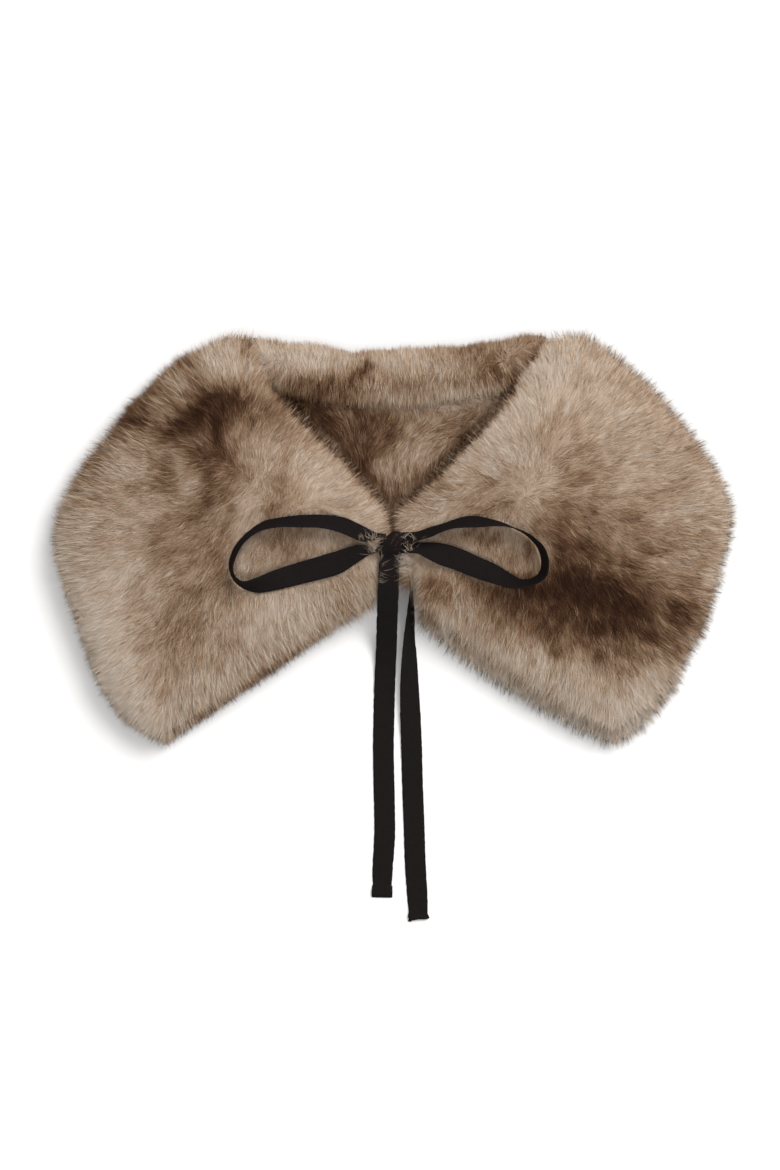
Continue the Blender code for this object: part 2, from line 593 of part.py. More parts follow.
def main():
    """Build every piece."""
    clear_scene()
    collection = make_collection("fur_collar_wrap")
    outer = make_material("outer_fur", CREAM, 0.9)
    inner = make_material("inner_fur", BROWN, 0.9)
    tape = make_material("tape", TAPE_BLACK, 0.75)
    fur = {"outer": outer, "inner": inner}
    left = make_front(collection, "left", LEFT_FRONT, LEFT_FOOT_LINE, 1.0, fur)
    right = make_front(collection, "right", RIGHT_FRONT, RIGHT_FOOT_LINE, 2.0, fur)
    make_back(collection, inner)
    make_roll(collection, outer)
    tree = tree_of(left, right)
    make_knot(collection, tree, tape)
    make_loop(collection, "bow_loop_left", LEFT_LOOP, tree, tape)
    make_loop(collection, "bow_loop_right", RIGHT_LOOP, tree, tape)
    make_tail(collection, "tail_left", LEFT_TAIL, tape)
    make_tail(collection, "tail_right", RIGHT_TAIL, tape)


main()
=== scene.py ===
import math

import bmesh
import bpy
import numpy as np
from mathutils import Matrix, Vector
from mathutils.bvhtree import BVHTree
from mathutils.kdtree import KDTree


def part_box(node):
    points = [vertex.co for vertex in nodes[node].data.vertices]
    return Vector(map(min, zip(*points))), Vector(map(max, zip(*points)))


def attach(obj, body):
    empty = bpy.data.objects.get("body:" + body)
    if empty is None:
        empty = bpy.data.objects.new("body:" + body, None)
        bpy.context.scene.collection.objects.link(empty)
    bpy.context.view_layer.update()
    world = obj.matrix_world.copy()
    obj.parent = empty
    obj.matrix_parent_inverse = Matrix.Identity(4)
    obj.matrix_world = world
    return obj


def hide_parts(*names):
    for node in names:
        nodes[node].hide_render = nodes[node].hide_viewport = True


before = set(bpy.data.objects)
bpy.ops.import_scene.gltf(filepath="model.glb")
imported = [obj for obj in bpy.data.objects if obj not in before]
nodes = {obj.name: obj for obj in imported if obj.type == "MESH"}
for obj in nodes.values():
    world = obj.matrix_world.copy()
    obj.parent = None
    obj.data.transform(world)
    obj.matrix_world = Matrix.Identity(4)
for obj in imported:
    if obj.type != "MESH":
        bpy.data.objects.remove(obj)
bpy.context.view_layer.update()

mm = 0.001
print("frame loaded:", len(nodes), "nodes")


# camera, floor and light
stage = {
    "lens": 220.0,           # mm
    "viewHeight": 0.7254,    # what the frame's long side takes in, at fur height
    "viewCentre": (-0.0009, 0.0260),
    "focusHeight": 0.006,
    "floorSize": 6.0,
    "floorColour": (0.715, 0.71, 0.706),
    "keyPlace": (1.85, 2.2, 3.8),
    "keySize": 2.4,
    "keyPower": 228.0,
    "topPlace": (-0.3, -0.6, 4.0),
    "topSize": 3.0,
    "topPower": 66.0,
    "skyStrength": 0.515,
}


def makeStage(values):
    scene = bpy.context.scene
    x, y = values["viewCentre"]
    camera = bpy.data.cameras.new("camera")
    camera.lens = values["lens"]
    camera.sensor_width = 36.0
    eye = bpy.data.objects.new("camera", camera)
    away = values["viewHeight"] * camera.lens / camera.sensor_width
    eye.location = (x, y, values["focusHeight"] + away)
    scene.collection.objects.link(eye)
    scene.camera = eye

    bm = bmesh.new()
    bmesh.ops.create_grid(bm, x_segments=1, y_segments=1, size=values["floorSize"] / 2)
    mesh = bpy.data.meshes.new("floor")
    bm.to_mesh(mesh)
    bm.free()
    floor = bpy.data.objects.new("floor", mesh)
    scene.collection.objects.link(floor)
    material = bpy.data.materials.new("floor")
    material.use_nodes = True
    shader = material.node_tree.nodes["Principled BSDF"]
    shader.inputs["Base Color"].default_value = (*values["floorColour"], 1.0)
    shader.inputs["Roughness"].default_value = 0.9
    shader.inputs["Specular IOR Level"].default_value = 0.1
    mesh.materials.append(material)

    for name in ("key", "top"):
        light = bpy.data.lights.new(name, "AREA")
        light.shape = "DISK"
        light.size = values[name + "Size"]
        light.energy = values[name + "Power"]
        lamp = bpy.data.objects.new(name, light)
        lamp.location = values[name + "Place"]
        aim = Vector((x, y, 0)) - lamp.location
        lamp.rotation_euler = aim.to_track_quat("-Z", "Y").to_euler()
        scene.collection.objects.link(lamp)

    world = bpy.data.worlds.new("studio")
    world.use_nodes = True
    sky = world.node_tree.nodes["Background"]
    sky.inputs["Color"].default_value = (1.0, 1.0, 1.0, 1.0)
    sky.inputs["Strength"].default_value = values["skyStrength"]
    scene.world = world
    scene.view_settings.view_transform = "Standard"


makeStage(stage)
print("stage set")


# Hair colour runs over a small square of UV: u is how dark the coat is there, v runs in strips,
# one strip for each kind of hair, and along the hair from root to tip within its strip.
furColour = {
    "coat": (                # darkness, colour
        (0.00, (0.600, 0.515, 0.432)),
        (0.22, (0.465, 0.356, 0.260)),
        (0.45, (0.282, 0.174, 0.101)),
        (0.70, (0.100, 0.047, 0.023)),
        (1.00, (0.019, 0.0068, 0.0032)),
    ),
    "kinds": 4,              # plain, warm, grey, dark-tipped
    "warm": (1.06, 0.98, 0.90),
    "grey": (0.95, 1.0, 1.05),
    "tipDark": 0.50,         # how much darker the tip of a dark-tipped hair is
    # Painted shade: each hair is darkened at its root, standing in for the shade deep in the pile.
    "paintedRootShadeReach": 0.62,       # how far along the hair the painted shade at its root reaches
    "outerRootPaintedShade": 0.40,       # how dark that painted shade is
    "innerRootPaintedShade": 0.50,
}


def mixColour(tree, mode, factor, first, second):
    node = tree.nodes.new("ShaderNodeMix")
    node.data_type = "RGBA"
    node.blend_type = mode
    for socket, value in (("Factor", factor), ("A", first), ("B", second)):
        slots = [s for s in node.inputs if s.name == socket and s.enabled]
        if isinstance(value, bpy.types.NodeSocket):
            tree.links.new(value, slots[0])
        else:
            slots[0].default_value = value
    return [s for s in node.outputs if s.enabled][0]


def mathNode(tree, operation, first, second=0.0, third=0.0):
    node = tree.nodes.new("ShaderNodeMath")
    node.operation = operation
    for i, value in enumerate((first, second, third)):
        if isinstance(value, bpy.types.NodeSocket):
            tree.links.new(value, node.inputs[i])
        else:
            node.inputs[i].default_value = value
    return node.outputs[0]


def makeFurGroup(values):
    group = bpy.data.node_groups.new("furCoat", "ShaderNodeTree")
    group.interface.new_socket("Place", in_out="INPUT", socket_type="NodeSocketVector")
    group.interface.new_socket("Painted Root Shade", in_out="INPUT", socket_type="NodeSocketFloat")
    group.interface.new_socket("Color", in_out="OUTPUT", socket_type="NodeSocketColor")
    group.interface.new_socket("Along", in_out="OUTPUT", socket_type="NodeSocketFloat")
    start = group.nodes.new("NodeGroupInput")
    end = group.nodes.new("NodeGroupOutput")
    parts = group.nodes.new("ShaderNodeSeparateXYZ")
    group.links.new(start.outputs["Place"], parts.inputs[0])
    strip = mathNode(group, "MULTIPLY", parts.outputs["Y"], float(values["kinds"]))
    kind = mathNode(group, "FLOOR", strip)
    along = mathNode(group, "FRACT", strip)
    ramp = group.nodes.new("ShaderNodeValToRGB")
    stops = ramp.color_ramp.elements
    for place, colour in values["coat"]:
        stop = stops.new(place) if 0.0 < place < 1.0 else stops[-1 if place else 0]
        stop.color = (*colour, 1.0)
    isKind = [mathNode(group, "COMPARE", kind, float(k), 0.5) for k in range(values["kinds"])]
    tipDark = mathNode(group, "MULTIPLY", isKind[3], mathNode(group, "SMOOTH_MIN", along, 1.0, 0.1))
    tipDark = mathNode(group, "MULTIPLY", tipDark, tipDark)
    darkness = mathNode(group, "MULTIPLY_ADD", tipDark, values["tipDark"], parts.outputs["X"])
    group.links.new(darkness, ramp.inputs["Fac"])
    colour = ramp.outputs["Color"]
    for k, tint in ((1, "warm"), (2, "grey")):
        colour = mixColour(group, "MULTIPLY", isKind[k], colour, (*values[tint], 1.0))
    # painted shade: each hair is darkened from its root along part of its length
    reach = mathNode(group, "DIVIDE", along, values["paintedRootShadeReach"])
    reach = mathNode(group, "MINIMUM", reach, 1.0)
    shade = mathNode(group, "SUBTRACT", 1.0, start.outputs["Painted Root Shade"])
    bright = mathNode(group, "MULTIPLY_ADD", reach, start.outputs["Painted Root Shade"], shade)
    grey = group.nodes.new("ShaderNodeCombineXYZ")
    for i in range(3):
        group.links.new(bright, grey.inputs[i])
    colour = mixColour(group, "MULTIPLY", 1.0, colour, grey.outputs[0])
    group.links.new(colour, end.inputs["Color"])
    group.links.new(along, end.inputs["Along"])
    return group


furGroup = makeFurGroup(furColour)


def furMaterial(name, paintedRootShade, roughness):
    material = bpy.data.materials.new(name)
    material.use_nodes = True
    tree = material.node_tree
    shader = tree.nodes["Principled BSDF"]
    uv = tree.nodes.new("ShaderNodeUVMap")
    uv.uv_map = "OFBake"
    coat = tree.nodes.new("ShaderNodeGroup")
    coat.node_tree = furGroup
    coat.inputs["Painted Root Shade"].default_value = paintedRootShade
    tree.links.new(uv.outputs[0], coat.inputs["Place"])
    tree.links.new(coat.outputs["Color"], shader.inputs["Base Color"])
    shader.inputs["Roughness"].default_value = roughness
    shader.inputs["Specular IOR Level"].default_value = 0.05
    return material


def underfurMaterial():
    material = bpy.data.materials.new("underfur")
    material.use_nodes = True
    tree = material.node_tree
    shader = tree.nodes["Principled BSDF"]
    place = tree.nodes.new("ShaderNodeTexCoord")
    noise = tree.nodes.new("ShaderNodeTexNoise")
    noise.inputs["Scale"].default_value = 260.0
    noise.inputs["Detail"].default_value = 4.0
    tree.links.new(place.outputs["Object"], noise.inputs["Vector"])
    # The underfur's brown is darker than the hair's, as painted shade in the gaps of the pile where
    # it shows.
    colour = mixColour(tree, "MIX", noise.outputs["Fac"], (0.20, 0.135, 0.090, 1.0),
                       (0.32, 0.225, 0.160, 1.0))
    tree.links.new(colour, shader.inputs["Base Color"])
    bump = tree.nodes.new("ShaderNodeBump")
    bump.inputs["Strength"].default_value = 0.6
    bump.inputs["Distance"].default_value = 0.001
    tree.links.new(noise.outputs["Fac"], bump.inputs["Height"])
    tree.links.new(bump.outputs[0], shader.inputs["Normal"])
    shader.inputs["Roughness"].default_value = 0.95
    shader.inputs["Specular IOR Level"].default_value = 0.15
    return material


# the inner fur takes more painted shade at its roots than the outer
outerFur = furMaterial("outerFur", furColour["outerRootPaintedShade"], 0.62)
innerFur = furMaterial("innerFur", furColour["innerRootPaintedShade"], 0.66)
underfur = underfurMaterial()
print("fur materials made")


# Which way the hair lies, seen from above: place in mm, then degrees from +X towards +Y.
lay = {
    "left": (
        (-97, 175, 90), (-113, 170, 100), (-131, 162, 120), (-144, 150, 150), (-156, 141, 160),
        (-168, 122, 168), (-181, 104, 170), (-193, 85, 172), (-206, 66, 180), (-199, 42, 190),
        (-187, 4, 205), (-175, -33, 215), (-156, -58, 225), (-137, -70, 250),
        (-119, 141, 128), (-100, 141, 95), (-82, 141, 72), (-66, 144, 50), (-51, 122, 45),
        (-32, 104, 40), (-13, 85, 38), (-4, 66, 30), (-88, 116, 80), (-106, 122, 110),
        (-137, 110, 168), (-150, 79, 184), (-119, 91, 200), (-100, 79, 222), (-75, 97, 78),
        (-57, 91, 60), (-94, 48, 235), (-72, 57, 262), (-45, 51, 268), (-20, 45, 272),
        (-88, 17, 262), (-57, 11, 274), (-26, 17, 288), (-13, 24, 300), (-119, 30, 235),
        (-137, 42, 205), (-150, 11, 222), (-119, -8, 255), (-88, -20, 284), (-57, -5, 296),
        (-119, -39, 268), (-131, -58, 262), (-106, -55, 290),
    ),
    "right": (
        (98, 172, 100), (117, 172, 84), (135, 168, 62), (150, 154, 48), (168, 141, 35),
        (181, 119, 18), (193, 97, 8), (206, 76, 2), (206, 51, -8), (199, 30, -14),
        (190, 4, -30), (181, -20, -42), (171, -45, -55), (150, -64, -80), (132, -70, -92),
        (82, 158, 118), (73, 147, 130), (61, 130, 140), (42, 110, 150), (26, 94, 158),
        (11, 76, 165), (5, 60, 200), (85, 141, 108), (67, 122, 125), (98, 141, 80),
        (117, 135, 50), (129, 116, 26), (129, 91, 12), (104, 91, 10), (85, 104, 100),
        (60, 97, 150), (48, 76, 200), (154, 104, 12), (168, 73, 2), (135, 66, -12),
        (117, 54, -42), (98, 60, -35), (141, 42, -35), (165, 42, -20), (150, 17, -52),
        (117, 23, -66), (92, 30, -84), (67, 30, -92), (42, 30, -98), (24, 30, -100),
        (17, 23, -104), (48, 4, -80), (79, -8, -84), (104, -20, -88), (129, -14, -78),
        (129, -45, -88), (154, -30, -66), (67, 48, -92), (42, 51, -100), (30, 60, 230),
    ),
    "roll": (
        (-80, 175, 96), (-50, 172, 92), (-20, 168, 90), (10, 168, 90), (45, 172, 88),
        (75, 176, 84), (92, 178, 80), (-75, 152, 262), (-50, 145, 268), (-20, 142, 270),
        (10, 142, 272), (45, 145, 276), (75, 152, 285), (88, 165, 300),
    ),
    "back": (
        (-60, 138, -28), (-42, 122, -42), (-26, 104, -52), (-10, 85, -60), (0, 73, -80),
        (-30, 138, -55), (-10, 135, -75), (10, 135, -60), (30, 138, -20), (50, 141, -5),
        (70, 141, 6), (0, 119, 225), (-10, 110, 222), (20, 116, 200), (35, 120, 188),
        (15, 97, 250), (5, 91, 262), (30, 97, 215), (55, 128, 190), (76, 147, 205),
    ),
}

# How dark the coat is: a base, then soft markings laid one over another, in mm.
# x, y, half length, half width, turn in degrees, darkness
# Some markings are painted shade or painted light, noted where they stand.
coat = {
    "left": (0.30, (
        (-172, -5, 72, 28, 75, 0.08), (-148, 20, 44, 14, 80, 0.29), (-124, 22, 58, 17, 85, 0.42),
        (-102, -32, 44, 18, 33, 0.20), (-72, 4, 30, 13, 20, 0.13), (-28, 82, 34, 16, -45, 0.22),
        (-64, 116, 34, 20, -45, 0.36), (-105, 168, 26, 14, 0, 0.11), (-166, 100, 26, 20, 48, 0.28),
        (-176, 65, 24, 22, 0, 0.26), (-163, 130, 50, 9, 50, 0.50), (-158, 137, 12, 8, 50, 0.66),
        (-155, 126, 9, 8, 0, 0.74), (-127, 163, 9, 7, 40, 0.52), (-150, 147, 10, 8, 45, 0.58),
        (-170, 118, 10, 6, 50, 0.56), (-186, 100, 12, 6, 50, 0.44), (-134, 149, 9, 8, 60, 0.18),
        (-140, 142, 7, 5, 0, 0.36), (-112, 138, 20, 9, -10, 0.90), (-120, 131, 14, 8, 20, 0.92),
        (-125, 125, 13, 7, 30, 1.00), (-128, 145, 7, 6, 30, 0.34), (-138, 120, 9, 6, 20, 0.86),
        (-100, 139, 10, 8, -10, 0.94), (-107, 120, 8, 16, 0, 0.92), (-104, 106, 8, 10, 0, 0.84),
        (-97, 115, 5, 8, 0, 0.50), (-92, 130, 7, 8, 0, 0.68), (-86, 125, 6, 7, 0, 0.60),
        (-120, 110, 10, 8, 0, 0.72), (-129, 113, 8, 6, 0, 0.64), (-118, 100, 8, 7, 0, 0.70),
        (-141, 102, 5, 10, 10, 0.70), (-137, 89, 6, 9, 20, 0.70), (-127, 86, 6, 8, 0, 0.28),
        (-113, 90, 6, 9, -10, 0.80), (-115, 77, 6, 9, -15, 0.70), (-102, 85, 7, 9, -10, 0.64),
        (-97, 95, 6, 6, 0, 0.60), (-100, 73, 8, 7, 0, 0.58), (-90, 95, 6, 6, 0, 0.56),
        (-90, 110, 7, 8, 0, 0.40), (-122, 67, 7, 9, 0, 0.60), (-118, 55, 8, 7, 0, 0.42),
        (-106, 57, 8, 9, 0, 0.52), (-108, 45, 7, 9, 0, 0.55), (-104, 28, 8, 9, 0, 0.52),
        (-98, 16, 8, 6, 0, 0.38), (-145, 50, 7, 9, 0, 0.53), (-138, 64, 8, 8, 0, 0.47),
        (-128, 45, 10, 8, 0, 0.42), (-128, 10, 8, 10, 0, 0.43), (-118, 14, 8, 10, 0, 0.48),
        (-136, -3, 8, 11, 0, 0.47), (-127, -16, 8, 9, 0, 0.36), (-111, 4, 8, 9, 0, 0.38),
        (-110, -16, 9, 9, 0, 0.32), (-99, -5, 7, 9, 0, 0.33), (-153, 109, 8, 7, 0, 0.38),
        (-157, 86, 10, 6, 0, 0.47), (-165, 112, 8, 6, 0, 0.28), (-168, 95, 9, 8, 0, 0.20),
        (-186, 78, 12, 8, 50, 0.36), (-201, 66, 7, 13, 0, 0.30), (-206, 48, 4, 12, 0, 0.30),
        (-88, 78, 9, 9, 0, 0.19), (-78, 105, 8, 8, 0, 0.24), (-70, 90, 8, 6, 0, 0.47),
        (-71, 74, 8, 7, 0, 0.54), (-74, 134, 10, 7, -40, 0.60), (-80, 141, 7, 5, -40, 0.54),
        (-79, 150, 7, 6, 0, 0.36), (-84, 165, 5, 9, 0, 0.34), (-89, 175, 3.5, 7, 15, 0.46),
        (-50, 100, 14, 12, -45, 0.20), (-47, 88, 12, 9, -40, 0.13), (-15, 70, 12, 9, -45, 0.19),
        # The marks at (-80, 50), (-68, 54), (-60, 50), (-48, 53) and (-38, 54), inside the left
        # loop, are partly painted shadow of its tape.
        (-90, 43, 6, 9, -45, 0.16), (-80, 50, 7, 6, 0, 0.36), (-68, 54, 9, 6, 0, 0.58),
        (-60, 50, 9, 6, 0, 0.54), (-48, 53, 9, 4, 0, 0.36), (-75, 42, 9, 4, 15, 0.26),
        (-38, 54, 8, 4, 0, 0.26), (-85, 16, 9, 5, 15, 0.22), (-68, 12, 10, 9, 0, 0.10),
        (-52, 14, 9, 9, 0, 0.18), (-40, 24, 9, 7, 0, 0.22), (-30, 28, 7, 6, 0, 0.30),
        (-15, 38, 8, 7, 0, 0.18), (-40, 9, 8, 6, 30, 0.22), (-30, 14, 7, 6, 0, 0.30),
        (-28, 8, 7, 3, 34, 0.58), (-45, -6, 8, 2.5, 34, 0.50), (-62, -19, 10, 3, 34, 0.66),
        (-78, -31, 10, 3.5, 34, 0.70), (-88, -39, 7, 3.5, 34, 0.70), (-100, -46, 8, 3, 34, 0.46),
        (-114, -57, 7, 4, 34, 0.62), (-199, 24, 2.5, 8, -10, 0.45), (-195, 7, 3.5, 6, 0, 0.50),
        (-187, -12, 2.5, 12, 15, 0.40), (-178, -40, 2.5, 8, 20, 0.30), (-168, -58, 4, 3, 45, 0.30),
        # (-143, -55) is painted light on the left wing's low tip, against its shade.
        (-143, -55, 10, 7, 0, 0.00),
    )),
    "right": (0.27, (
        (104, 170, 26, 11, 50, 0.02), (86, 142, 26, 10, 52, 0.00), (64, 122, 20, 8, 45, 0.04),
        (130, 150, 42, 22, -40, 0.17), (98, 156, 26, 18, 45, 0.06), (75, 130, 28, 12, 45, 0.09),
        (180, 110, 26, 24, -60, 0.24), (150, 118, 26, 16, -20, 0.22), (202, 80, 14, 30, 0, 0.16),
        # (120, -42) and (156, -46) are partly painted light, against the shade at the right wing's
        # low tip.
        (124, 12, 66, 19, -8, 0.80), (120, -42, 46, 13, -25, 0.20), (156, -46, 22, 14, 30, 0.06),
        (70, -13, 30, 9, -33, 0.34), (110, 105, 11, 4, 25, 0.46), (115, 92, 9, 7, 0, 0.46),
        (125, 97, 7, 5, 0, 0.38), (100, 100, 7, 6, 0, 0.36), (85, 105, 9, 9, 0, 0.21),
        (70, 107, 8, 5, 30, 0.06), (58, 88, 8, 6, 0, 0.42), (40, 95, 9, 8, 45, 0.21),
        (30, 86, 7, 6, 45, 0.38), (20, 78, 7, 6, 0, 0.28), (15, 68, 7, 6, 0, 0.26),
        (30, 73, 8, 5, 0, 0.22), (45, 78, 7, 5, 0, 0.36), (55, 71, 12, 4, 0, 0.50),
        (70, 76, 8, 5, 0, 0.50), (80, 72, 7, 5, 0, 0.36), (92, 62, 8, 8, 0, 0.58),
        (105, 62, 8, 8, 0, 0.66), (110, 75, 10, 6, 0, 0.62), (100, 73, 7, 5, 0, 0.56),
        (124, 67, 6, 8, -10, 0.68), (130, 85, 8, 6, 0, 0.44), (144, 88, 8, 6, 0, 0.17),
        (137, 76, 8, 5, 0, 0.33), (150, 80, 8, 5, 0, 0.37), (146, 69, 9, 5, 0, 0.58),
        (107, 49, 8, 9, 0, 0.84), (121, 50, 8, 8, 0, 0.80), (130, 58, 8, 8, 0, 0.48),
        (135, 46, 7, 6, 0, 0.50), (150, 58, 9, 5, 0, 0.54), (156, 49, 9, 5, 0, 0.70),
        (166, 50, 7, 6, 0, 0.52), (176, 54, 8, 8, 0, 0.40), (190, 55, 8, 10, 0, 0.31),
        # (60, 53), (48, 57) and (36, 55), inside the right loop, are partly painted shadow of its
        # tape.
        (183, 74, 9, 8, 0, 0.20), (172, 85, 9, 7, 0, 0.28), (60, 53, 10, 5, -10, 0.64),
        (48, 57, 9, 4, 0, 0.60), (66, 46, 8, 5, -20, 0.44), (75, 44, 6, 6, 0, 0.48),
        (70, 39, 7, 4, -25, 0.42), (86, 47, 5, 8, 0, 0.66), (36, 55, 8, 4, 0, 0.44),
        (15, 38, 8, 6, 0, 0.24), (25, 31, 8, 6, 0, 0.50), (18, 12, 8, 8, 0, 0.62),
        (24, 23, 9, 7, 0, 0.76), (22, 3, 9, 5, -35, 0.66), (31, 16, 6, 7, 0, 0.56),
        (37, 17, 2.5, 8, 0, 0.72), (43, 12, 4.5, 8, 0, 0.36), (46, 3, 7, 6, 0, 0.42),
        (50, 25, 10, 5, -15, 0.80), (60, 12, 8, 8, 0, 0.58), (68, 20, 9, 6, -10, 0.84),
        (78, 14, 7, 5, 0, 0.94), (88, 25, 10, 7, 0, 1.00), (100, 24, 10, 8, 0, 1.00),
        (85, 7, 8, 5, 0, 0.80), (96, 12, 8, 6, 0, 0.88), (104, 30, 9, 7, 0, 1.00),
        (110, 3, 9, 5, 0, 0.76), (115, 20, 9, 9, 0, 1.00), (125, 20, 10, 8, 0, 1.00),
        (137, 20, 10, 8, 0, 1.00), (120, 33, 8, 6, 0, 0.88), (131, 30, 8, 6, 0, 0.94),
        (108, 39, 9, 5, 0, 0.80), (121, 42, 8, 5, 0, 0.76), (132, 41, 8, 5, 0, 0.70),
        (149, 38, 11, 5, -10, 0.68), (145, 12, 9, 9, 0, 1.00), (156, 14, 8, 9, 0, 0.88),
        (150, 26, 8, 6, 0, 0.78), (161, 20, 6, 7, 0, 0.66), (166, 30, 8, 6, 0, 0.55),
        (172, 22, 7, 6, 0, 0.50), (180, 35, 8, 6, 0, 0.48), (190, 38, 6, 6, 0, 0.34),
        (197, 30, 5, 10, -10, 0.12), (186, 27, 7, 6, 0, 0.56), (135, 6, 9, 6, 0, 0.86),
        (124, -2, 8, 6, 0, 0.96), (140, -1, 8, 6, 0, 0.92), (151, 0, 8, 6, 0, 0.84),
        (160, -5, 7, 6, 0, 0.82), (166, 6, 4, 9, 0, 0.56), (175, 8, 6, 7, 0, 0.90),
        (183, 8, 6, 6, 0, 0.82), (189, 13, 4, 5, 0, 0.64), (184, -8, 5, 6, -20, 0.40),
        (175, -15, 7, 6, 0, 0.56), (142, -16, 8, 6, 0, 0.62), (129, -18, 6, 7, 0, 0.70),
        (120, -12, 5, 6, 0, 0.58), (111, -12, 6, 7, 0, 0.50), (100, -15, 5, 6, 0, 0.66),
        (98, -4, 8, 5, 0, 0.76), (90, 0, 7, 5, 0, 0.76), (80, 1, 8, 4, 0, 0.62),
        (70, 1, 7, 5, 0, 0.54), (115, 0, 6, 6, 0, 0.72), (135, -24, 7, 4, 0, 0.60),
        (150, -20, 8, 5, 0, 0.55), (160, -19, 7, 5, 0, 0.60), (146, -28, 8, 5, 0, 0.48),
        (60, -5, 7, 5, -30, 0.44), (50, -8, 8, 3, -33, 0.54), (80, -18, 9, 6, -33, 0.23),
        (105, -34, 12, 7, -30, 0.28), (127, -65, 5, 3, -20, 0.52), (168, -35, 7, 9, -40, 0.14),
        # (150, -57) is painted light on the right wing's low tip, against its shade.
        (150, -57, 14, 9, 0, -0.08), (50, -1, 12, 6, -35, 0.44), (45, -8, 9, 5, -35, 0.54),
        (62, -21, 11, 4.5, -35, 0.50), (80, -34, 11, 4.5, -35, 0.50),
        (98, -46, 10, 4.5, -35, 0.48), (78, -22, 12, 5, -35, 0.34), (124, -50, 12, 6, -30, 0.30),
    )),
    "neck": (0.42, (
        (-50, 168, 36, 10, -4, 0.08), (5, 167, 18, 9, 0, 0.14), (35, 165, 18, 9, 5, 0.32),
        (70, 168, 22, 9, 10, 0.37), (88, 168, 9, 12, -20, 0.58), (35, 142, 34, 7, 0, 0.30),
        (15, 112, 22, 12, 0, 0.24), (-40, 132, 24, 18, -30, 0.60), (-20, 112, 20, 12, -45, 0.62),
        # (-72, 153) to (-30, 146) are partly painted shadow under the roll's foot.
        (-84, 170, 9, 12, 10, 0.10), (-88, 176, 2.5, 6, 20, 0.36), (-72, 153, 9, 3, -10, 0.52),
        (-60, 148, 8, 4, 0, 0.66), (-50, 148, 8, 4, 0, 0.80), (-40, 147, 8, 4, 0, 0.88),
        (-30, 146, 6, 5, 0, 0.82), (-24, 151, 5, 4, 30, 0.95), (-18, 156, 5, 4, 40, 0.94),
        (-14, 161, 2.5, 5, -10, 0.92), (-20, 149, 5, 4, 0, 0.62), (-12, 152, 5, 4, 0, 0.56),
        # The row from (-58, 136) down to (-8, 84) follows the left front's edge of the neck
        # opening: dark fur, partly painted shade where the front overhangs the back.
        (-64, 142, 7, 4, 0, 0.58), (-74, 148, 6, 4, 0, 0.42), (-58, 136, 9, 5, -20, 0.96),
        (-50, 133, 8, 6, -40, 1.00), (-44, 126, 8, 6, -40, 0.94), (-38, 119, 7, 6, -45, 0.84),
        (-44, 140, 8, 4, 0, 0.80), (-34, 138, 7, 4, 0, 0.66), (-31, 130, 5, 5, 0, 0.62),
        (-30, 113, 7, 6, -45, 0.80), (-22, 121, 6, 5, 0, 0.82), (-14, 118, 6, 5, 0, 0.84),
        (-24, 105, 6, 5, -45, 0.80), (-14, 106, 7, 5, 0, 0.78), (-19, 98, 6, 5, -45, 0.84),
        (-14, 90, 6, 4, -45, 0.72), (-8, 84, 6, 4, -45, 0.66), (-2, 78, 6, 4, 0, 0.74),
        (6, 80, 5, 4, 0, 0.62), (-20, 130, 6, 4, 0, 0.72), (-10, 128, 6, 3, 0, 0.80),
        (32, 138, 22, 4, 0, 0.28), (55, 142, 10, 5, 0, 0.22), (4, 148, 9, 3, 0, 0.60),
        (0, 143, 4, 3, 0, 0.66), (0, 118, 6, 6, 0, 0.90), (-5, 105, 5, 4, 0, 0.70),
        (-50, 145, 5, 2.5, 0, 0.62), (-1, 130, 6, 3, 0, 0.70), (9, 130, 7, 3, 0, 0.56),
        (-2, 123, 6, 3, 0, 0.74), (-22, 140, 6, 4, 0, 0.52), (-10, 144, 9, 4, 0, 0.30),
        (-13, 137, 7, 3, 0, 0.48), (2, 138, 8, 4, 0, 0.34), (18, 124, 9, 4, 0, 0.42),
        (5, 116, 6, 3, 0, 0.52), (13, 115, 4, 3, 0, 0.50), (-4, 99, 7, 6, 0, 0.26),
        # The row from (14, 90) up to (77, 152) follows the right front's edge of the neck opening:
        # dark fur, partly painted shade where the front overhangs the back.
        (6, 96, 6, 4, 0, 0.34), (3, 88, 6, 3, 0, 0.52), (14, 90, 6, 4, 40, 0.58),
        (22, 92, 7, 4, 45, 0.68), (16, 84, 6, 4, 45, 0.62), (29, 100, 7, 4, 45, 0.68),
        (36, 107, 7, 4, 45, 0.70), (43, 113, 7, 4, 45, 0.70), (49, 119, 6, 5, 45, 0.80),
        (57, 127, 7, 4, 45, 0.66), (64, 134, 7, 4, 45, 0.62), (72, 144, 6, 4, 45, 0.60),
        (77, 152, 6, 4, 40, 0.66), (26, 112, 8, 5, 0, 0.34), (35, 120, 6, 4, 0, 0.46),
        (42, 126, 8, 4, 0, 0.48), (50, 133, 8, 4, 0, 0.42), (30, 129, 8, 3, 0, 0.50),
        (47, 138, 8, 4, 0, 0.32), (62, 142, 5, 4, 0, 0.40), (62, 161, 3.5, 8, 15, 0.76),
        (52, 171, 5, 5, 0, 0.66), (44, 171, 4, 5, 0, 0.54), (56, 163, 4, 5, 0, 0.60),
        # (57, 151) to (-4, 152) are partly painted shadow under the roll's foot.
        (69, 153, 8, 3, 15, 0.80), (81, 158, 7, 3.5, 20, 0.66), (57, 151, 7, 3, 5, 0.58),
        (45, 150, 9, 3, 0, 0.48), (31, 150, 9, 3, 0, 0.46), (18, 150, 9, 3, 0, 0.56),
        (5, 151, 8, 3, 0, 0.58), (-4, 152, 5, 3, 0, 0.52), (38, 157, 8, 4, 0, 0.36),
        (20, 157, 9, 4, 0, 0.28), (75, 163, 6, 5, 0, 0.46), (90, 163, 4, 6, -15, 0.78),
        (96, 173, 3, 7, -10, 0.64), (84, 172, 4, 6, 0, 0.54), (67, 171, 6, 5, 0, 0.50),
    )),
}

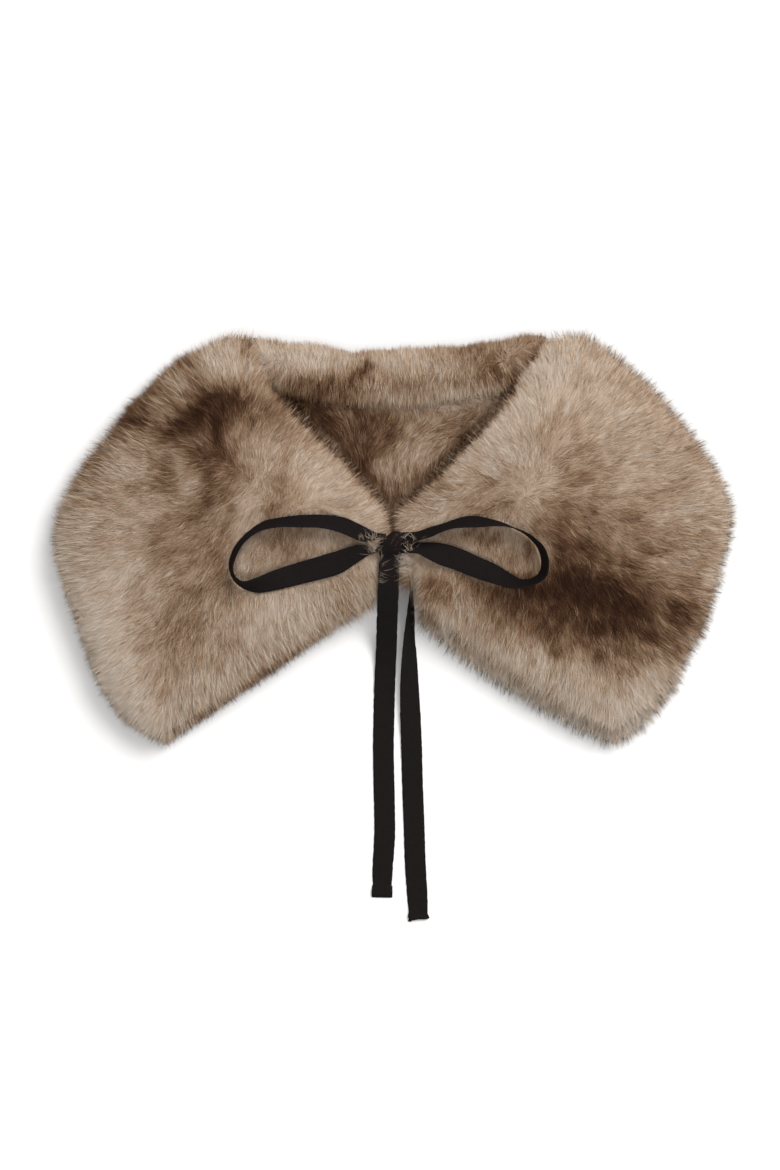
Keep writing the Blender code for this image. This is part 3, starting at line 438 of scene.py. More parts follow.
fur = {
    "leftFurNeck": dict(node="left_front_outer", lay="left", coat="left", hairs=18000,
                        fine=120000, seed=11, length=11.5, half="neck",
                        over=("back", "right"), edgeReach=7.0,
                        longer=((-18, 6, 15, 6.0), (-75, -30, 30, 2.0)),
                        trim=((60, 1.0), (76, 2.0), (134, 3.0), (147, 1.5), (155, -2.5))),
    "leftFurHem": dict(node="left_front_outer", lay="left", coat="left", hairs=18000,
                       fine=120000, seed=12, length=11.5, half="hem", over=("back",),
                       edgeReach=7.0, longer=((-200, 105, 50, 3.0), (-120, -65, 30, 2.0)),
                       trim=((148, 0.0), (155, -3.0))),
    "rightFurNeck": dict(node="right_front_outer", lay="right", coat="right", hairs=18000,
                         fine=120000, seed=13, length=11.5, half="neck",
                         over=("back", "left"),
                         longer=((40, -15, 40, 4.0), (95, -50, 30, 4.0)),
                         trim=((60, 1.0), (76, 2.0), (150, 2.0), (160, -2.5))),
    "rightFurHem": dict(node="right_front_outer", lay="right", coat="right", hairs=18000,
                        fine=120000, seed=14, length=11.5, half="hem", over=("back",),
                        longer=((115, -62, 25, 3.0), (205, 85, 20, 2.0)),
                        trim=((148, 0.0), (155, -2.5))),
    # The roll's hair is painted lighter (darker below 0), against the shade of its rounded shape.
    "backRollFur": dict(node="back_outer", lay="roll", coat="neck", hairs=9000, fine=50000,
                        seed=15, length=11.0, darker=-0.07, edgeReach=3.2, trim=((0, -3.0),),
                        over=("back_inner", "left", "right")),
    "backFur": dict(node="back_inner", lay="back", coat="neck", hairs=7000, fine=42000,
                    seed=16, length=11.0, beyond=5.5),
    "leftFacingFur": dict(node="left_front_inner", lay="left", coat="left", hairs=5000,
                          fine=26000, seed=17, length=10.0, over=("back",)),
    # Its low lip: a greyish tone with painted shade, and painted light towards the tips.
    "rightFacingFur": dict(node="right_front_inner", lay="right", coat="right", hairs=6000,
                           fine=30000, seed=18, length=10.0, lip=0.44, over=("back",),
                           edgeShare=0.70, edgeReach=8.0, tipPaintedLight=0.26),
}

hairShape = {
    "rootWidth": 0.19,       # mm
    "midWidth": 0.21,
    "fineWidth": 0.29,
    "lean": 27.0,            # degrees off the fur's surface
    "leanSpread": 7.0,
    "edgeLean": 38.0,        # how much more the hair stands out at a rim
    "turnSpread": 16.0,
    "lengths": (0.80, 0.32),       # of a piece's length: the shortest, and what is added
    "leanNoise": (4.0, 6.0),       # mm across, degrees
    "lengthNoise": (7.0, 0.12),
    "layNoise": ((11.0, 15.0), (3.2, 12.0)),     # mm across, degrees
    "coatNoise": ((2.2, 0.095), (5.0, 0.095), (14.0, 0.035)),     # mm across, darkness
    "hairNoise": 0.11,
    "tuftNoise": 0.045,
    "lightHairs": (0.06, 0.18),    # their share, how much lighter
    "darkHairs": (0.08, 0.26),
    "kindShares": (0.36, 0.24, 0.20, 0.20),
    "leeFrom": (-0.64, -0.77),     # the way that the light falls, in plan
    "leePaintedLight": 0.28,        # painted light: how much lighter the hair on a side turned from it is
    # painted shade: how much darker the hair on a side facing the light is
    "litPaintedShade": 0.06,
    # painted shade added to the walls round the neck opening
    "wallPaintedShade": 0.22,
    "slimRim": 0.36,         # how much thinner the hairs at a rim are
    "tuftSize": 16,          # hairs to a tuft
    "tuftPull": 0.30,
    "strayShare": 0.03,
    "strayReach": 2.4,       # mm that a stray hair stands proud
    "edgeShare": 0.42,
    "edgeReach": 4.6,
    "overReach": 6.0,        # mm that it falls forward where one piece lies on another
    "overFrom": 34.0,        # how near the other piece is
    "pressed": 2.2,          # how far hair under the tape is pressed in
    "leastHeight": 0.25,     # above the floor
    "tapeGap": 0.6,          # between hair and the tape over it
}
frontSplit = (98.0, 60.0, 0.25)    # the line between a front's two pieces: x, at this y, slant
coatRange = (0.006, 0.994)         # the darkness stays on the colour ramp


def valueNoise(points, size, seed):
    # smooth hills between -1 and 1, from random heights on a cubic lattice
    rng = np.random.default_rng(seed)
    heights = rng.uniform(-1.0, 1.0, (32, 32, 32))
    scaled = points / size
    cell = np.floor(scaled).astype(int)
    part = scaled - cell
    part = part * part * (3.0 - 2.0 * part)
    total = np.zeros(len(points))
    for corner in np.ndindex(2, 2, 2):
        step = np.array(corner)
        weight = np.prod(np.where(step, part, 1.0 - part), axis=1)
        at = (cell + step) % 32
        total += weight * heights[at[:, 0], at[:, 1], at[:, 2]]
    return total


def unit(vectors):
    return vectors / np.maximum(np.linalg.norm(vectors, axis=1, keepdims=True), 1e-12)


def mergedSkin(nodeName):
    # a CAD node's faces, joined up: corner places in mm, triangles and smooth normals
    bm = bmesh.new()
    bm.from_mesh(nodes[nodeName].data)
    bmesh.ops.remove_doubles(bm, verts=bm.verts, dist=1e-6)
    bmesh.ops.triangulate(bm, faces=bm.faces)
    bm.normal_update()
    places = np.array([v.co for v in bm.verts]) / mm
    normals = np.array([v.normal for v in bm.verts])
    faces = np.array([[v.index for v in f.verts] for f in bm.faces])
    bm.free()
    return places, faces, normals


skins = {name: mergedSkin(name) for name in nodes}


def solidTree(names):
    places, faces = [], []
    for name in names:
        base = len(places)
        places += [Vector(p) for p in skins[name][0]]
        faces += [[base + i for i in face] for face in skins[name][1]]
    return BVHTree.FromPolygons(places, faces)


furNodes = sorted({values["node"] for values in fur.values()})
furTree = solidTree(furNodes)
tapeTree = solidTree([name for name in nodes if name not in furNodes])
skyward = Vector((0.0, 0.0, 1.0))


def scatter(nodeName, wanted, rng, half=None, beyond=0.0):
    # points spread over the part of a fur solid that can be seen, or that lies no further than
    # some mm under the edge of the pieces above it, with its normals there
    places, faces, normals = skins[nodeName]
    a, b, c = (places[faces[:, i]] for i in range(3))
    cross = np.cross(b - a, c - a)
    area = np.linalg.norm(cross, axis=1) / 2
    downward = cross[:, 2] / np.maximum(2 * area, 1e-12) < -0.55
    area = np.where(downward, 0.0, area)
    if half:
        # each outer front is grown as two pieces, which meet on a slanting line
        lineX, lineY, slant = frontSplit
        middle = (a + b + c) / 3
        out = np.abs(middle[:, 0]) - lineX + slant * (middle[:, 1] - lineY)
        area = np.where((out > 0) == (half == "hem"), area, 0.0)
    found, facing = [], []
    have = 0
    while have < wanted:
        pick = rng.choice(len(faces), size=wanted, p=area / area.sum())
        u, v = rng.random(wanted), rng.random(wanted)
        flip = u + v > 1
        u, v = np.where(flip, 1 - u, u), np.where(flip, 1 - v, v)
        w = 1 - u - v
        point = a[pick] * w[:, None] + b[pick] * u[:, None] + c[pick] * v[:, None]
        normal = unit(normals[faces[pick, 0]] * w[:, None] + normals[faces[pick, 1]] * u[:, None]
                      + normals[faces[pick, 2]] * v[:, None])
        look = unit(normal + np.array([0.0, 0.0, 0.6]))
        start = [Vector(p) for p in point + normal * 0.12]
        seen = np.array([furTree.ray_cast(p, Vector(d), 60.0)[0] is None
                         or furTree.ray_cast(p, skyward, 60.0)[0] is None
                         for p, d in zip(start, look)])
        if beyond:
            for aside in (-beyond, beyond):
                shift = Vector((aside, beyond, 6.0))
                seen |= np.array([furTree.ray_cast(p + shift, skyward, 60.0)[0] is None
                                  for p in start])
        found.append(point[seen])
        facing.append(normal[seen])
        have += int(seen.sum())
    return np.concatenate(found)[:wanted], np.concatenate(facing)[:wanted]


def layAt(points, rows):
    table = np.array(rows, dtype=float)
    away = np.linalg.norm(points[:, None, :2] - table[None, :, :2], axis=2)
    weight = 1.0 / (away**2 + 60.0) ** 2
    angle = np.radians(table[:, 2])
    return np.arctan2(weight @ np.sin(angle), weight @ np.cos(angle))


def coatAt(points, base, patches):
    dark = np.full(len(points), base)
    # the markings' outlines wander, in two sizes of noise
    bend = np.stack([valueNoise(points, 9.0, 71), valueNoise(points, 9.0, 72)], axis=1) * 2.4
    bend += np.stack([valueNoise(points, 3.5, 73), valueNoise(points, 3.5, 74)], axis=1) * 1.6
    place = points[:, :2] + bend
    for x, y, long, wide, turn, value in patches:
        cos, sin = math.cos(math.radians(turn)), math.sin(math.radians(turn))
        dx, dy = place[:, 0] - x, place[:, 1] - y
        far = ((dx * cos + dy * sin) / long) ** 2 + ((dy * cos - dx * sin) / wide) ** 2
        cover = np.exp(-0.9 * far ** 1.4)
        dark += (value - dark) * cover
    return dark


def tufts(points, size, rng):
    # each hair's tuft, as the number of the hair in its middle
    centres = rng.choice(len(points), size=max(1, len(points) // size), replace=False)
    tree = KDTree(len(centres))
    for i, centre in enumerate(centres):
        tree.insert(Vector(points[centre]), i)
    tree.balance()
    return centres[[tree.find(Vector(p))[1] for p in points]]


def hairLay(points, normals, steep, values, rng):
    # which way each hair runs over the skin, how far it leans off it, and its length
    count, seed = len(points), values["seed"]
    angle = layAt(points, lay[values["lay"]])
    for k, (size, turn) in enumerate(hairShape["layNoise"]):
        angle += np.radians(turn) * valueNoise(points, size, seed + 100 * (k + 1))
    angle += np.radians(hairShape["turnSpread"]) * rng.standard_normal(count)
    flow = np.stack([np.cos(angle), np.sin(angle), np.zeros(count)], axis=1)
    outward = normals * np.array([1.0, 1.0, 0.0])
    flow = unit(flow * (1.0 - 0.45 * steep)[:, None] + outward * 0.9)
    flow = unit(flow - normals * (flow * normals).sum(axis=1, keepdims=True))
    size, turn = hairShape["leanNoise"]
    lean = np.radians(hairShape["lean"] + hairShape["leanSpread"] * rng.standard_normal(count)
                      + turn * valueNoise(points, size, seed + 300)
                      + hairShape["edgeLean"] * steep**2)
    least, spread = hairShape["lengths"]
    size, change = hairShape["lengthNoise"]
    length = values["length"] * (least + spread * rng.random(count))
    length *= 1.0 + change * valueNoise(points, size, seed + 400)
    length *= 1.0 - 0.15 * steep
    return flow, lean, length


def forwardFall(points, push, steep, under, overNames):
    # how much each hair falls forward over the piece below, from 0 to 1
    below = solidTree([other for other in furNodes if other.startswith(overNames)])
    gap = np.array([below.find_nearest(Vector(p))[3] for p in points])
    fall = np.clip((hairShape["overFrom"] - gap) / 14.0, 0.0, 1.0)
    fall *= np.clip(steep * 3.0 - 0.3, 0.0, 1.0) * np.where(under, 0.0, 1.0)
    ahead = points + push * 10.0
    inside = np.array([furTree.ray_cast(Vector((p[0], p[1], 90.0)), -skyward)[0] is not None
                       if wanted else False for p, wanted in zip(ahead, fall > 0.0)])
    return fall * inside


def tipHeights(points, steep, fall, under, values, rng):
    # how far each tip stands proud of the solid: a few strays, more of them at a rim, and none
    # under the tape or beside it
    count = len(points)
    proud = -1.2 * rng.random(count) ** 1.5 + 0.4 - 0.9 * steep**2
    stray = rng.random(count)
    reach = hairShape["strayReach"] * rng.random(count)
    proud = np.where(stray < hairShape["strayShare"], reach, proud)
    reach = np.full(count, values.get("edgeReach", hairShape["edgeReach"]))
    for x, y, wide, extra in values.get("longer", ()):
        reach += extra * np.exp(-((points[:, 0] - x) ** 2 + (points[:, 1] - y) ** 2) / wide**2)
    reach *= rng.random(count) ** 2.2
    rim = values.get("edgeShare", hairShape["edgeShare"]) * steep**2 * (1.0 - fall)
    proud = np.where(stray < rim, reach, proud)
    proud = np.where(under, -hairShape["pressed"], proud)
    byTape = np.array([tapeTree.find_nearest(Vector(p), 11.0)[0] is not None for p in points])
    return np.where(byTape & (steep < 0.5), np.minimum(proud, -0.2), proud)


def keepClear(roots, bends, tips):
    # the hair stays above the floor, and under the tape that lies on it
    close = np.array([tapeTree.find_nearest(Vector(p), 6.0)[0] is not None for p in tips])
    for part in (roots, bends, tips):
        part[:, 2] = np.maximum(part[:, 2], hairShape["leastHeight"])
        for i in np.nonzero(close)[0]:
            tapeFoot = tapeTree.ray_cast(Vector((part[i, 0], part[i, 1], 0.1)), skyward)[0]
            if tapeFoot and part[i, 2] > tapeFoot[2] - hairShape["tapeGap"]:
                part[i, 2] = max(tapeFoot[2] - hairShape["tapeGap"], 0.2)


def hairColour(points, lee, steep, fall, parts, slip, mine, values, rng):
    # how dark each hair is at its root, bend and tip, and which kind it is
    count = len(points)
    dark = np.stack([coatAt(part - slip, *coat[values["coat"]]) for part in parts])
    # the right facing's low lip takes one darkness: its own greyish tone, partly painted shade
    if "lip" in values:
        low = 0.5 + 0.5 * np.tanh((4.0 - 0.56 * points[:, 0] - points[:, 1]) / 4.0)
        dark += (values["lip"] - dark) * low
    for k, (size, deep) in enumerate(hairShape["coatNoise"]):
        dark += deep * valueNoise(points, size, values["seed"] + 100 * (k + 5))
    dark += (hairShape["hairNoise"] * rng.standard_normal(count)
             + hairShape["tuftNoise"] * rng.standard_normal(count)[mine])
    # a piece's own shift; on the roll it is painted light against the shade of its shape
    dark += values.get("darker", 0.0)
    # painted light on the side turned from the light, painted shade on the side facing it
    dark -= (hairShape["leePaintedLight"] * np.clip(lee, 0.0, 1.0)
             - hairShape["litPaintedShade"] * np.clip(-lee, 0.0, 1.0)) * (1.0 - fall)
    # painted light, growing towards the tips, against the shade at the facing's low edge
    dark -= values.get("tipPaintedLight", 0.0) * np.array([[0.0], [0.5], [1.0]]) * (1.0 - fall)
    if "front" in values["node"]:
        # the walls round the neck opening take the colour of the back's fur, darkened further with
        # painted shade
        wall = fall * np.clip((steep - 0.80) / 0.14, 0.0, 1.0)
        wall *= np.clip((153.0 - points[:, 1]) / 6.0, 0.0, 1.0)
        on = wall > 0.0
        behind = np.stack([coatAt(part[on], *coat["neck"]) for part in parts])
        dark[:, on] += (behind + hairShape["wallPaintedShade"] - dark[:, on]) * wall[on]
    odd = rng.random(count)
    share, change = hairShape["lightHairs"]
    dark = np.where(odd < share, dark - change, dark)
    share, change = hairShape["darkHairs"]
    dark = np.where(odd > 1.0 - share, dark + change, dark)
    kind = rng.choice(4, size=count, p=hairShape["kindShares"])
    kind = np.where((kind == 3) & (lee > 0.45), 0, kind)
    if "lip" in values:
        kind = np.where((low > 0.5) & (kind != 2), np.where(odd < 0.5, 2, 0), kind)
    return np.clip(dark, *coatRange), kind


def growFur(name, values):
    rng = np.random.default_rng(values["seed"])
    count = values["hairs"] + values["fine"]
    points, normals = scatter(values["node"], count, rng, values.get("half"),
                              values.get("beyond", 0.0))
    outward = normals * np.array([1.0, 1.0, 0.0])
    steep = np.linalg.norm(outward, axis=1)
    flow, lean, length = hairLay(points, normals, steep, values, rng)
    under = np.array([tapeTree.ray_cast(Vector(p), skyward, 12.0)[0] is not None for p in points])
    fall = np.zeros(count)
    if "over" in values:
        push = unit(outward * 1.2 + flow * np.array([0.5, 0.5, 0.2]))
        fall = forwardFall(points, push, steep, under, values["over"])
    tips = points + normals * tipHeights(points, steep, fall, under, values, rng)[:, None]
    if "over" in values:
        trim = np.interp(points[:, 1], *np.array(values.get("trim", ((0, 0.0),))).T)
        tips += push * (fall * (hairShape["overReach"] * rng.random(count) ** 3.0 - trim))[:, None]

    mine = tufts(points, hairShape["tuftSize"], rng)
    near = np.exp(-(np.linalg.norm(points - points[mine], axis=1) / 6.0) ** 2)
    pull = hairShape["tuftPull"] * near * (0.4 + 0.6 * rng.random(count)) * (0.6 + 0.9 * steep)
    drift = (tips[mine] - points[mine]) - (tips - points)
    tips += (drift * 0.8 + (points[mine] - points) * 0.55) * pull[:, None]

    rise = (length * np.sin(lean))[:, None]
    run = (length * np.cos(lean))[:, None]
    roots = tips - flow * run - normals * rise
    bends = roots + normals * rise * 0.74 + flow * run * 0.44
    bends += unit(rng.standard_normal((count, 3))) * 0.35
    keepClear(roots, bends, tips)

    slip = flow * (3.0 * rng.random(count)[mine] + 1.5 * rng.random(count) - 1.5)[:, None]
    lee = normals[:, :2] @ np.array(hairShape["leeFrom"])
    dark, kind = hairColour(points, lee, steep, fall, (roots, bends, tips), slip, mine, values, rng)
    rim = np.clip((steep - 0.5) / 0.3, 0.0, 1.0) * (1.0 - fall) * np.clip(lee * 2.0, 0.0, 1.0)
    slim = 1.0 - hairShape["slimRim"] * rim[:, None]
    return hairMesh(name, values["hairs"], roots, bends, tips, normals, dark, kind, rng, slim)


def makeObject(name, mesh, material, slotName, *nodeNames):
    mesh.materials.append(material)
    piece = bpy.data.objects.new(name, mesh)
    bpy.context.scene.collection.objects.link(piece)
    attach(piece, "root")
    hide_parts(*nodeNames)
    return piece


def addPiece(name, bm, material, slotName, *nodeNames):
    mesh = bpy.data.meshes.new(name)
    bm.to_mesh(mesh)
    bm.free()
    mesh.polygons.foreach_set("use_smooth", np.ones(len(mesh.polygons), dtype=bool))
    return makeObject(name, mesh, material, slotName, *nodeNames)


def hairMesh(name, curved, roots, bends, tips, normals, dark, kind, rng, slim):
    # The first hairs are thin ribbons along a curve from root, by bend, to tip, in two lengths;
    # the others are straight slivers from root to tip.
    count = len(roots)
    fine = count - curved
    width = (0.8 + 0.4 * rng.random((count, 1))) * slim
    roll = rng.uniform(-0.6, 0.6, (count, 1))

    def across(run, part):
        side = unit(np.cross(run[part], normals[part]))
        lift = unit(np.cross(side, run[part]))
        return unit(side * np.cos(roll[part]) + lift * np.sin(roll[part])) * width[part] / 2

    long, short = slice(0, curved), slice(curved, count)
    middle = (roots + bends * 2 + tips) / 4
    rootSide = across(bends - roots, long) * hairShape["rootWidth"]
    middleSide = across(tips - roots, long) * hairShape["midWidth"]
    ribbon = np.stack([roots[long] - rootSide, roots[long] + rootSide, middle[long] - middleSide,
                       middle[long] + middleSide, tips[long]], axis=1).reshape(-1, 3)
    fineSide = across(tips - roots, short) * hairShape["fineWidth"]
    sliver = np.stack([roots[short] - fineSide, roots[short] + fineSide, tips[short]],
                      axis=1).reshape(-1, 3)
    ribbonBase = np.arange(curved)[:, None] * 5
    sliverBase = curved * 5 + np.arange(fine)[:, None] * 3
    loops = np.concatenate([(ribbonBase + np.array([[0, 1, 3, 2, 2, 3, 4]])).ravel(),
                            (sliverBase + np.array([[0, 1, 2]])).ravel()])
    totals = np.concatenate([np.tile([4, 3], curved), np.full(fine, 3)])
    starts = np.concatenate([[0], np.cumsum(totals)[:-1]])
    mesh = bpy.data.meshes.new(name)
    mesh.vertices.add(curved * 5 + fine * 3)
    mesh.vertices.foreach_set("co", (np.concatenate([ribbon, sliver]) * mm).ravel())
    mesh.loops.add(len(loops))
    mesh.loops.foreach_set("vertex_index", loops)
    mesh.polygons.add(len(totals))
    mesh.polygons.foreach_set("loop_start", starts)
    mesh.polygons.foreach_set("loop_total", totals)
    mesh.polygons.foreach_set("use_smooth", np.ones(len(totals), dtype=bool))
    mesh.update(calc_edges=True)

    kinds = furColour["kinds"]
    low = 0.02
    uvLong = np.stack([dark[[0, 0, 1, 1, 2], long].T + np.array([[-1, 1, -1, 1, 0]]) * 0.002,
                       (kind[long, None] + np.array([[low, low, 0.5, 0.5, 1 - low]])) / kinds],
                      axis=2).reshape(-1, 2)
    uvShort = np.stack([dark[[0, 0, 2], short].T + np.array([[-1, 1, 0]]) * 0.002,
                        (kind[short, None] + np.array([[low, low, 1 - low]])) / kinds],
                       axis=2).reshape(-1, 2)
    layer = mesh.uv_layers.new(name="OFBake")
    layer.data.foreach_set("uv", np.concatenate([uvLong, uvShort])[loops].ravel())
    steep = np.linalg.norm(normals[:, :2], axis=1, keepdims=True)
    lifted = normals * 0.34 + np.array([[0.0, 0.0, 0.7]]) + steep * np.array([[0.0, 0.0, 0.7]])
    tilt = unit(unit(lifted) + 0.12 * rng.standard_normal((count, 3)))
    corners = np.concatenate([np.repeat(tilt[long], 5, axis=0), np.repeat(tilt[short], 3, axis=0)])
    mesh.normals_split_custom_set_from_vertices(corners)
    return mesh


def underfurOf(name, values):
    # the CAD solid drawn in by the pile's depth, but not where another piece lies against it
    nodeName, inset = values["node"], values["inset"]
    places, faces, normals = skins[nodeName]
    ownTree = solidTree([nodeName])
    others = solidTree([other for other in furNodes if other[:5] != nodeName[:5]])
    drawn = []

    def wallAt(place, normal):
        # 1 where the solid stands as a wall over the fur in the neck opening
        side = math.hypot(normal[0], normal[1])
        ahead = place + normal / max(side, 0.01) * 10.0
        if side < 0.3 or furTree.ray_cast(Vector((ahead[0], ahead[1], 90.0)), -skyward)[0] is None:
            return 0.0
        along = float(np.interp(place[1], (62.0, 76.0, 144.0, 152.0), (0.0, 1.0, 1.0, 0.0)))
        return along * min(1.0, side * 1.6 - 0.4)

    for place, normal in zip(places, normals):
        hit = ownTree.ray_cast(Vector(place - normal * 0.05), Vector(-normal))
        room = hit[3] if hit[0] is not None else 0.0
        spot, _, _, near = others.find_nearest(Vector(place), 8.0)
        free = 1.0
        if spot and nodeName != "back_inner":
            facing = max(0.0, (spot - Vector(place)).normalized() @ Vector(normal))
            free -= facing * (1.0 - max(0.0, (near - 2.5) / 5.5))
        wall = wallAt(place, normal) if "front" in nodeName else 0.0
        drawn.append(place - normal * (min(inset, 0.36 * room) * max(free, wall) + 6.0 * wall))
    drawn = np.array(drawn)
    drawn[:, 2] = np.where(places[:, 2] < 0.3, 0.5, np.maximum(drawn[:, 2], 0.5))
    bm = bmesh.new()
    corners = [bm.verts.new(place * mm) for place in drawn]
    for face in faces:
        bm.faces.new([corners[i] for i in face])
    return addPiece(name, bm, underfur, values["slot"], nodeName)


# How far each solid is drawn in, in mm, and the cloth that it is cut from: its flat width, length
# and area in metres
underSkins = {
    "leftFrontUnderfur": dict(node="left_front_outer", inset=5.5, slot="outer_fur", held="laid",
                              flat=(0.226, 0.207), area=0.0388, restsOn=["leftFacingUnderfur"]),
    "rightFrontUnderfur": dict(node="right_front_outer", inset=5.5, slot="outer_fur", held="laid",
                               flat=(0.213, 0.217), area=0.0381, restsOn=["rightFacingUnderfur"]),
    "backRollUnderfur": dict(node="back_outer", inset=5.5, slot="outer_fur", held="folded",
                             flat=(0.183, 0.062), area=0.0107, restsOn=["backUnderfur"]),
    "backUnderfur": dict(node="back_inner", inset=4.5, slot="inner_fur", held="laid",
                         flat=(0.196, 0.109), area=0.0109, restsOn=[]),
    "leftFacingUnderfur": dict(node="left_front_inner", inset=3.5, slot="inner_fur", held="laid",
                               flat=(0.217, 0.200), area=0.0361, restsOn=[]),
    "rightFacingUnderfur": dict(node="right_front_inner", inset=3.5, slot="inner_fur", held="laid",
                                flat=(0.211, 0.209), area=0.0361, restsOn=[]),
}
for skinName, values in underSkins.items():
    skin = underfurOf(skinName, values)
print("underfur made")

for hairName, values in fur.items():
    isOuter = values["node"].endswith("_outer")
    makeObject(hairName, growFur(hairName, values), outerFur if isOuter else innerFur,
               "outer_fur" if isOuter else "inner_fur", values["node"])
    print("grown:", hairName)


# tape of the loops and tails
tape = {
    "width": 13.0,           # mm
    "thick": 0.9,
    "across": 10,            # faces from edge to edge
    "step": 1.4,             # mm between rows of points
    "tuck": 4.0,             # how far an end runs on under the knot
    "leastHalf": {"bow_loop_left": 2.9, "bow_loop_right": 4.0},
    "wave": 0.10,
    "fray": 0.14,
    "hem": 6.5,
    "hemThick": 2.0,
    "hemPull": 0.8,          # how far the stitching draws each edge in
    "sink": 13.0,
    "sinkFrom": 27.0,        # mm along Y
    "ribs": 1.1,             # ribs of twill in a mm
    "floorGaps": (0.12, 0.03),     # mm that its two faces stay above the floor
}


def tapeMaterial(values):
    material = bpy.data.materials.new("blackTwill")
    material.use_nodes = True
    tree = material.node_tree
    shader = tree.nodes["Principled BSDF"]
    place = tree.nodes.new("ShaderNodeAttribute")
    place.attribute_name = "tapePlace"       # mm across, along and 0
    parts = tree.nodes.new("ShaderNodeSeparateXYZ")
    tree.links.new(place.outputs["Vector"], parts.inputs[0])
    slant = mathNode(tree, "ADD", parts.outputs["X"], parts.outputs["Y"])
    turns = mathNode(tree, "MULTIPLY", slant, values["ribs"] * 2 * math.pi)
    rib = mathNode(tree, "SINE", turns)
    cross = mathNode(tree, "SUBTRACT", parts.outputs["X"], parts.outputs["Y"])
    crossTurns = mathNode(tree, "MULTIPLY", cross, values["ribs"] * 4 * math.pi)
    thread = mathNode(tree, "MULTIPLY_ADD", mathNode(tree, "SINE", crossTurns), 0.35, rib)
    noise = tree.nodes.new("ShaderNodeTexNoise")
    noise.inputs["Scale"].default_value = 0.35
    noise.inputs["Detail"].default_value = 5.0
    tree.links.new(place.outputs["Vector"], noise.inputs["Vector"])
    worn = mixColour(tree, "MIX", noise.outputs["Fac"], (0.0060, 0.0044, 0.0044, 1.0),
                     (0.0110, 0.0080, 0.0080, 1.0))
    # painted light and shade on the twill's ribs, beside their bump
    high = mathNode(tree, "MULTIPLY_ADD", thread, 0.18, 0.82)
    shade = tree.nodes.new("ShaderNodeCombineXYZ")
    for i in range(3):
        tree.links.new(high, shade.inputs[i])
    tree.links.new(mixColour(tree, "MULTIPLY", 1.0, worn, shade.outputs[0]),
                   shader.inputs["Base Color"])
    bump = tree.nodes.new("ShaderNodeBump")
    bump.inputs["Strength"].default_value = 0.35
    bump.inputs["Distance"].default_value = 0.0002
    tree.links.new(thread, bump.inputs["Height"])
    tree.links.new(bump.outputs[0], shader.inputs["Normal"])
    shader.inputs["Roughness"].default_value = 0.78
    shader.inputs["Specular IOR Level"].default_value = 0.07
    return material


def rowOf(points, before):
    # one row of a tape from the corners of its section: an edge, the middle and the other edge
    middle = points.mean(axis=0)
    away = points - middle
    wide = np.linalg.svd(away)[2][0]
    if before is not None and wide @ (before[2] - before[0]) < 0:
        wide = -wide
    place = away @ wide
    place -= (place.min() + place.max()) / 2
    reach = place.max()
    one = points[place < 0.15 - reach * 0.9].mean(axis=0)
    other = points[place > reach * 0.9 - 0.15].mean(axis=0)
    inner = points[np.abs(place) < reach * 0.3]
    middle = inner.mean(axis=0) if len(inner) > 1 else (one + other) / 2
    return np.array([one, middle, other])


def loopRows(nodeName):
    # a loop's rows, ring after ring of the CAD tape's corners, from its first end to its last
    places, faces = skins[nodeName][:2]
    neighbours = [set() for _ in places]
    for face in faces:
        for i in face:
            neighbours[i] |= set(face)

    def steps(starts):
        far = {i: 0 for i in starts}
        front = list(starts)
        while front:
            reached = {j for i in front for j in neighbours[i] if j not in far}
            far.update({j: far[front[0]] + 1 for j in reached})
            front = list(reached)
        return far

    far = steps([0])
    last = max(far, key=far.get)
    a, b, c = (places[faces[:, i]] for i in range(3))
    faceNormals = unit(np.cross(b - a, c - a))
    near = steps([last])
    inner = np.mean([places[i] for i in near if near[i] == 6], axis=0)
    run = unit((places[last] - inner)[None])[0]
    cap = max((f for f, face in enumerate(faces) if last in face),
              key=lambda f: abs(faceNormals[f] @ run))
    ring = {i for f, face in enumerate(faces) for i in face
            if faceNormals[f] @ faceNormals[cap] > 0.98 and all(near[j] <= 3 for j in face)}
    level = steps(ring)
    rows = []
    for k in range(max(level.values()) + 1):
        corners = places[[i for i in level if level[i] == k]]
        rows.append(rowOf(corners, rows[-1] if rows else None))
    rows = np.array(rows)
    half = np.linalg.norm(rows[:, 2] - rows[:, 0], axis=1) / 2
    grow = np.maximum(half, tape["leastHalf"][nodeName]) / half
    return rows[:, 1:2] + (rows - rows[:, 1:2]) * grow[:, None, None]


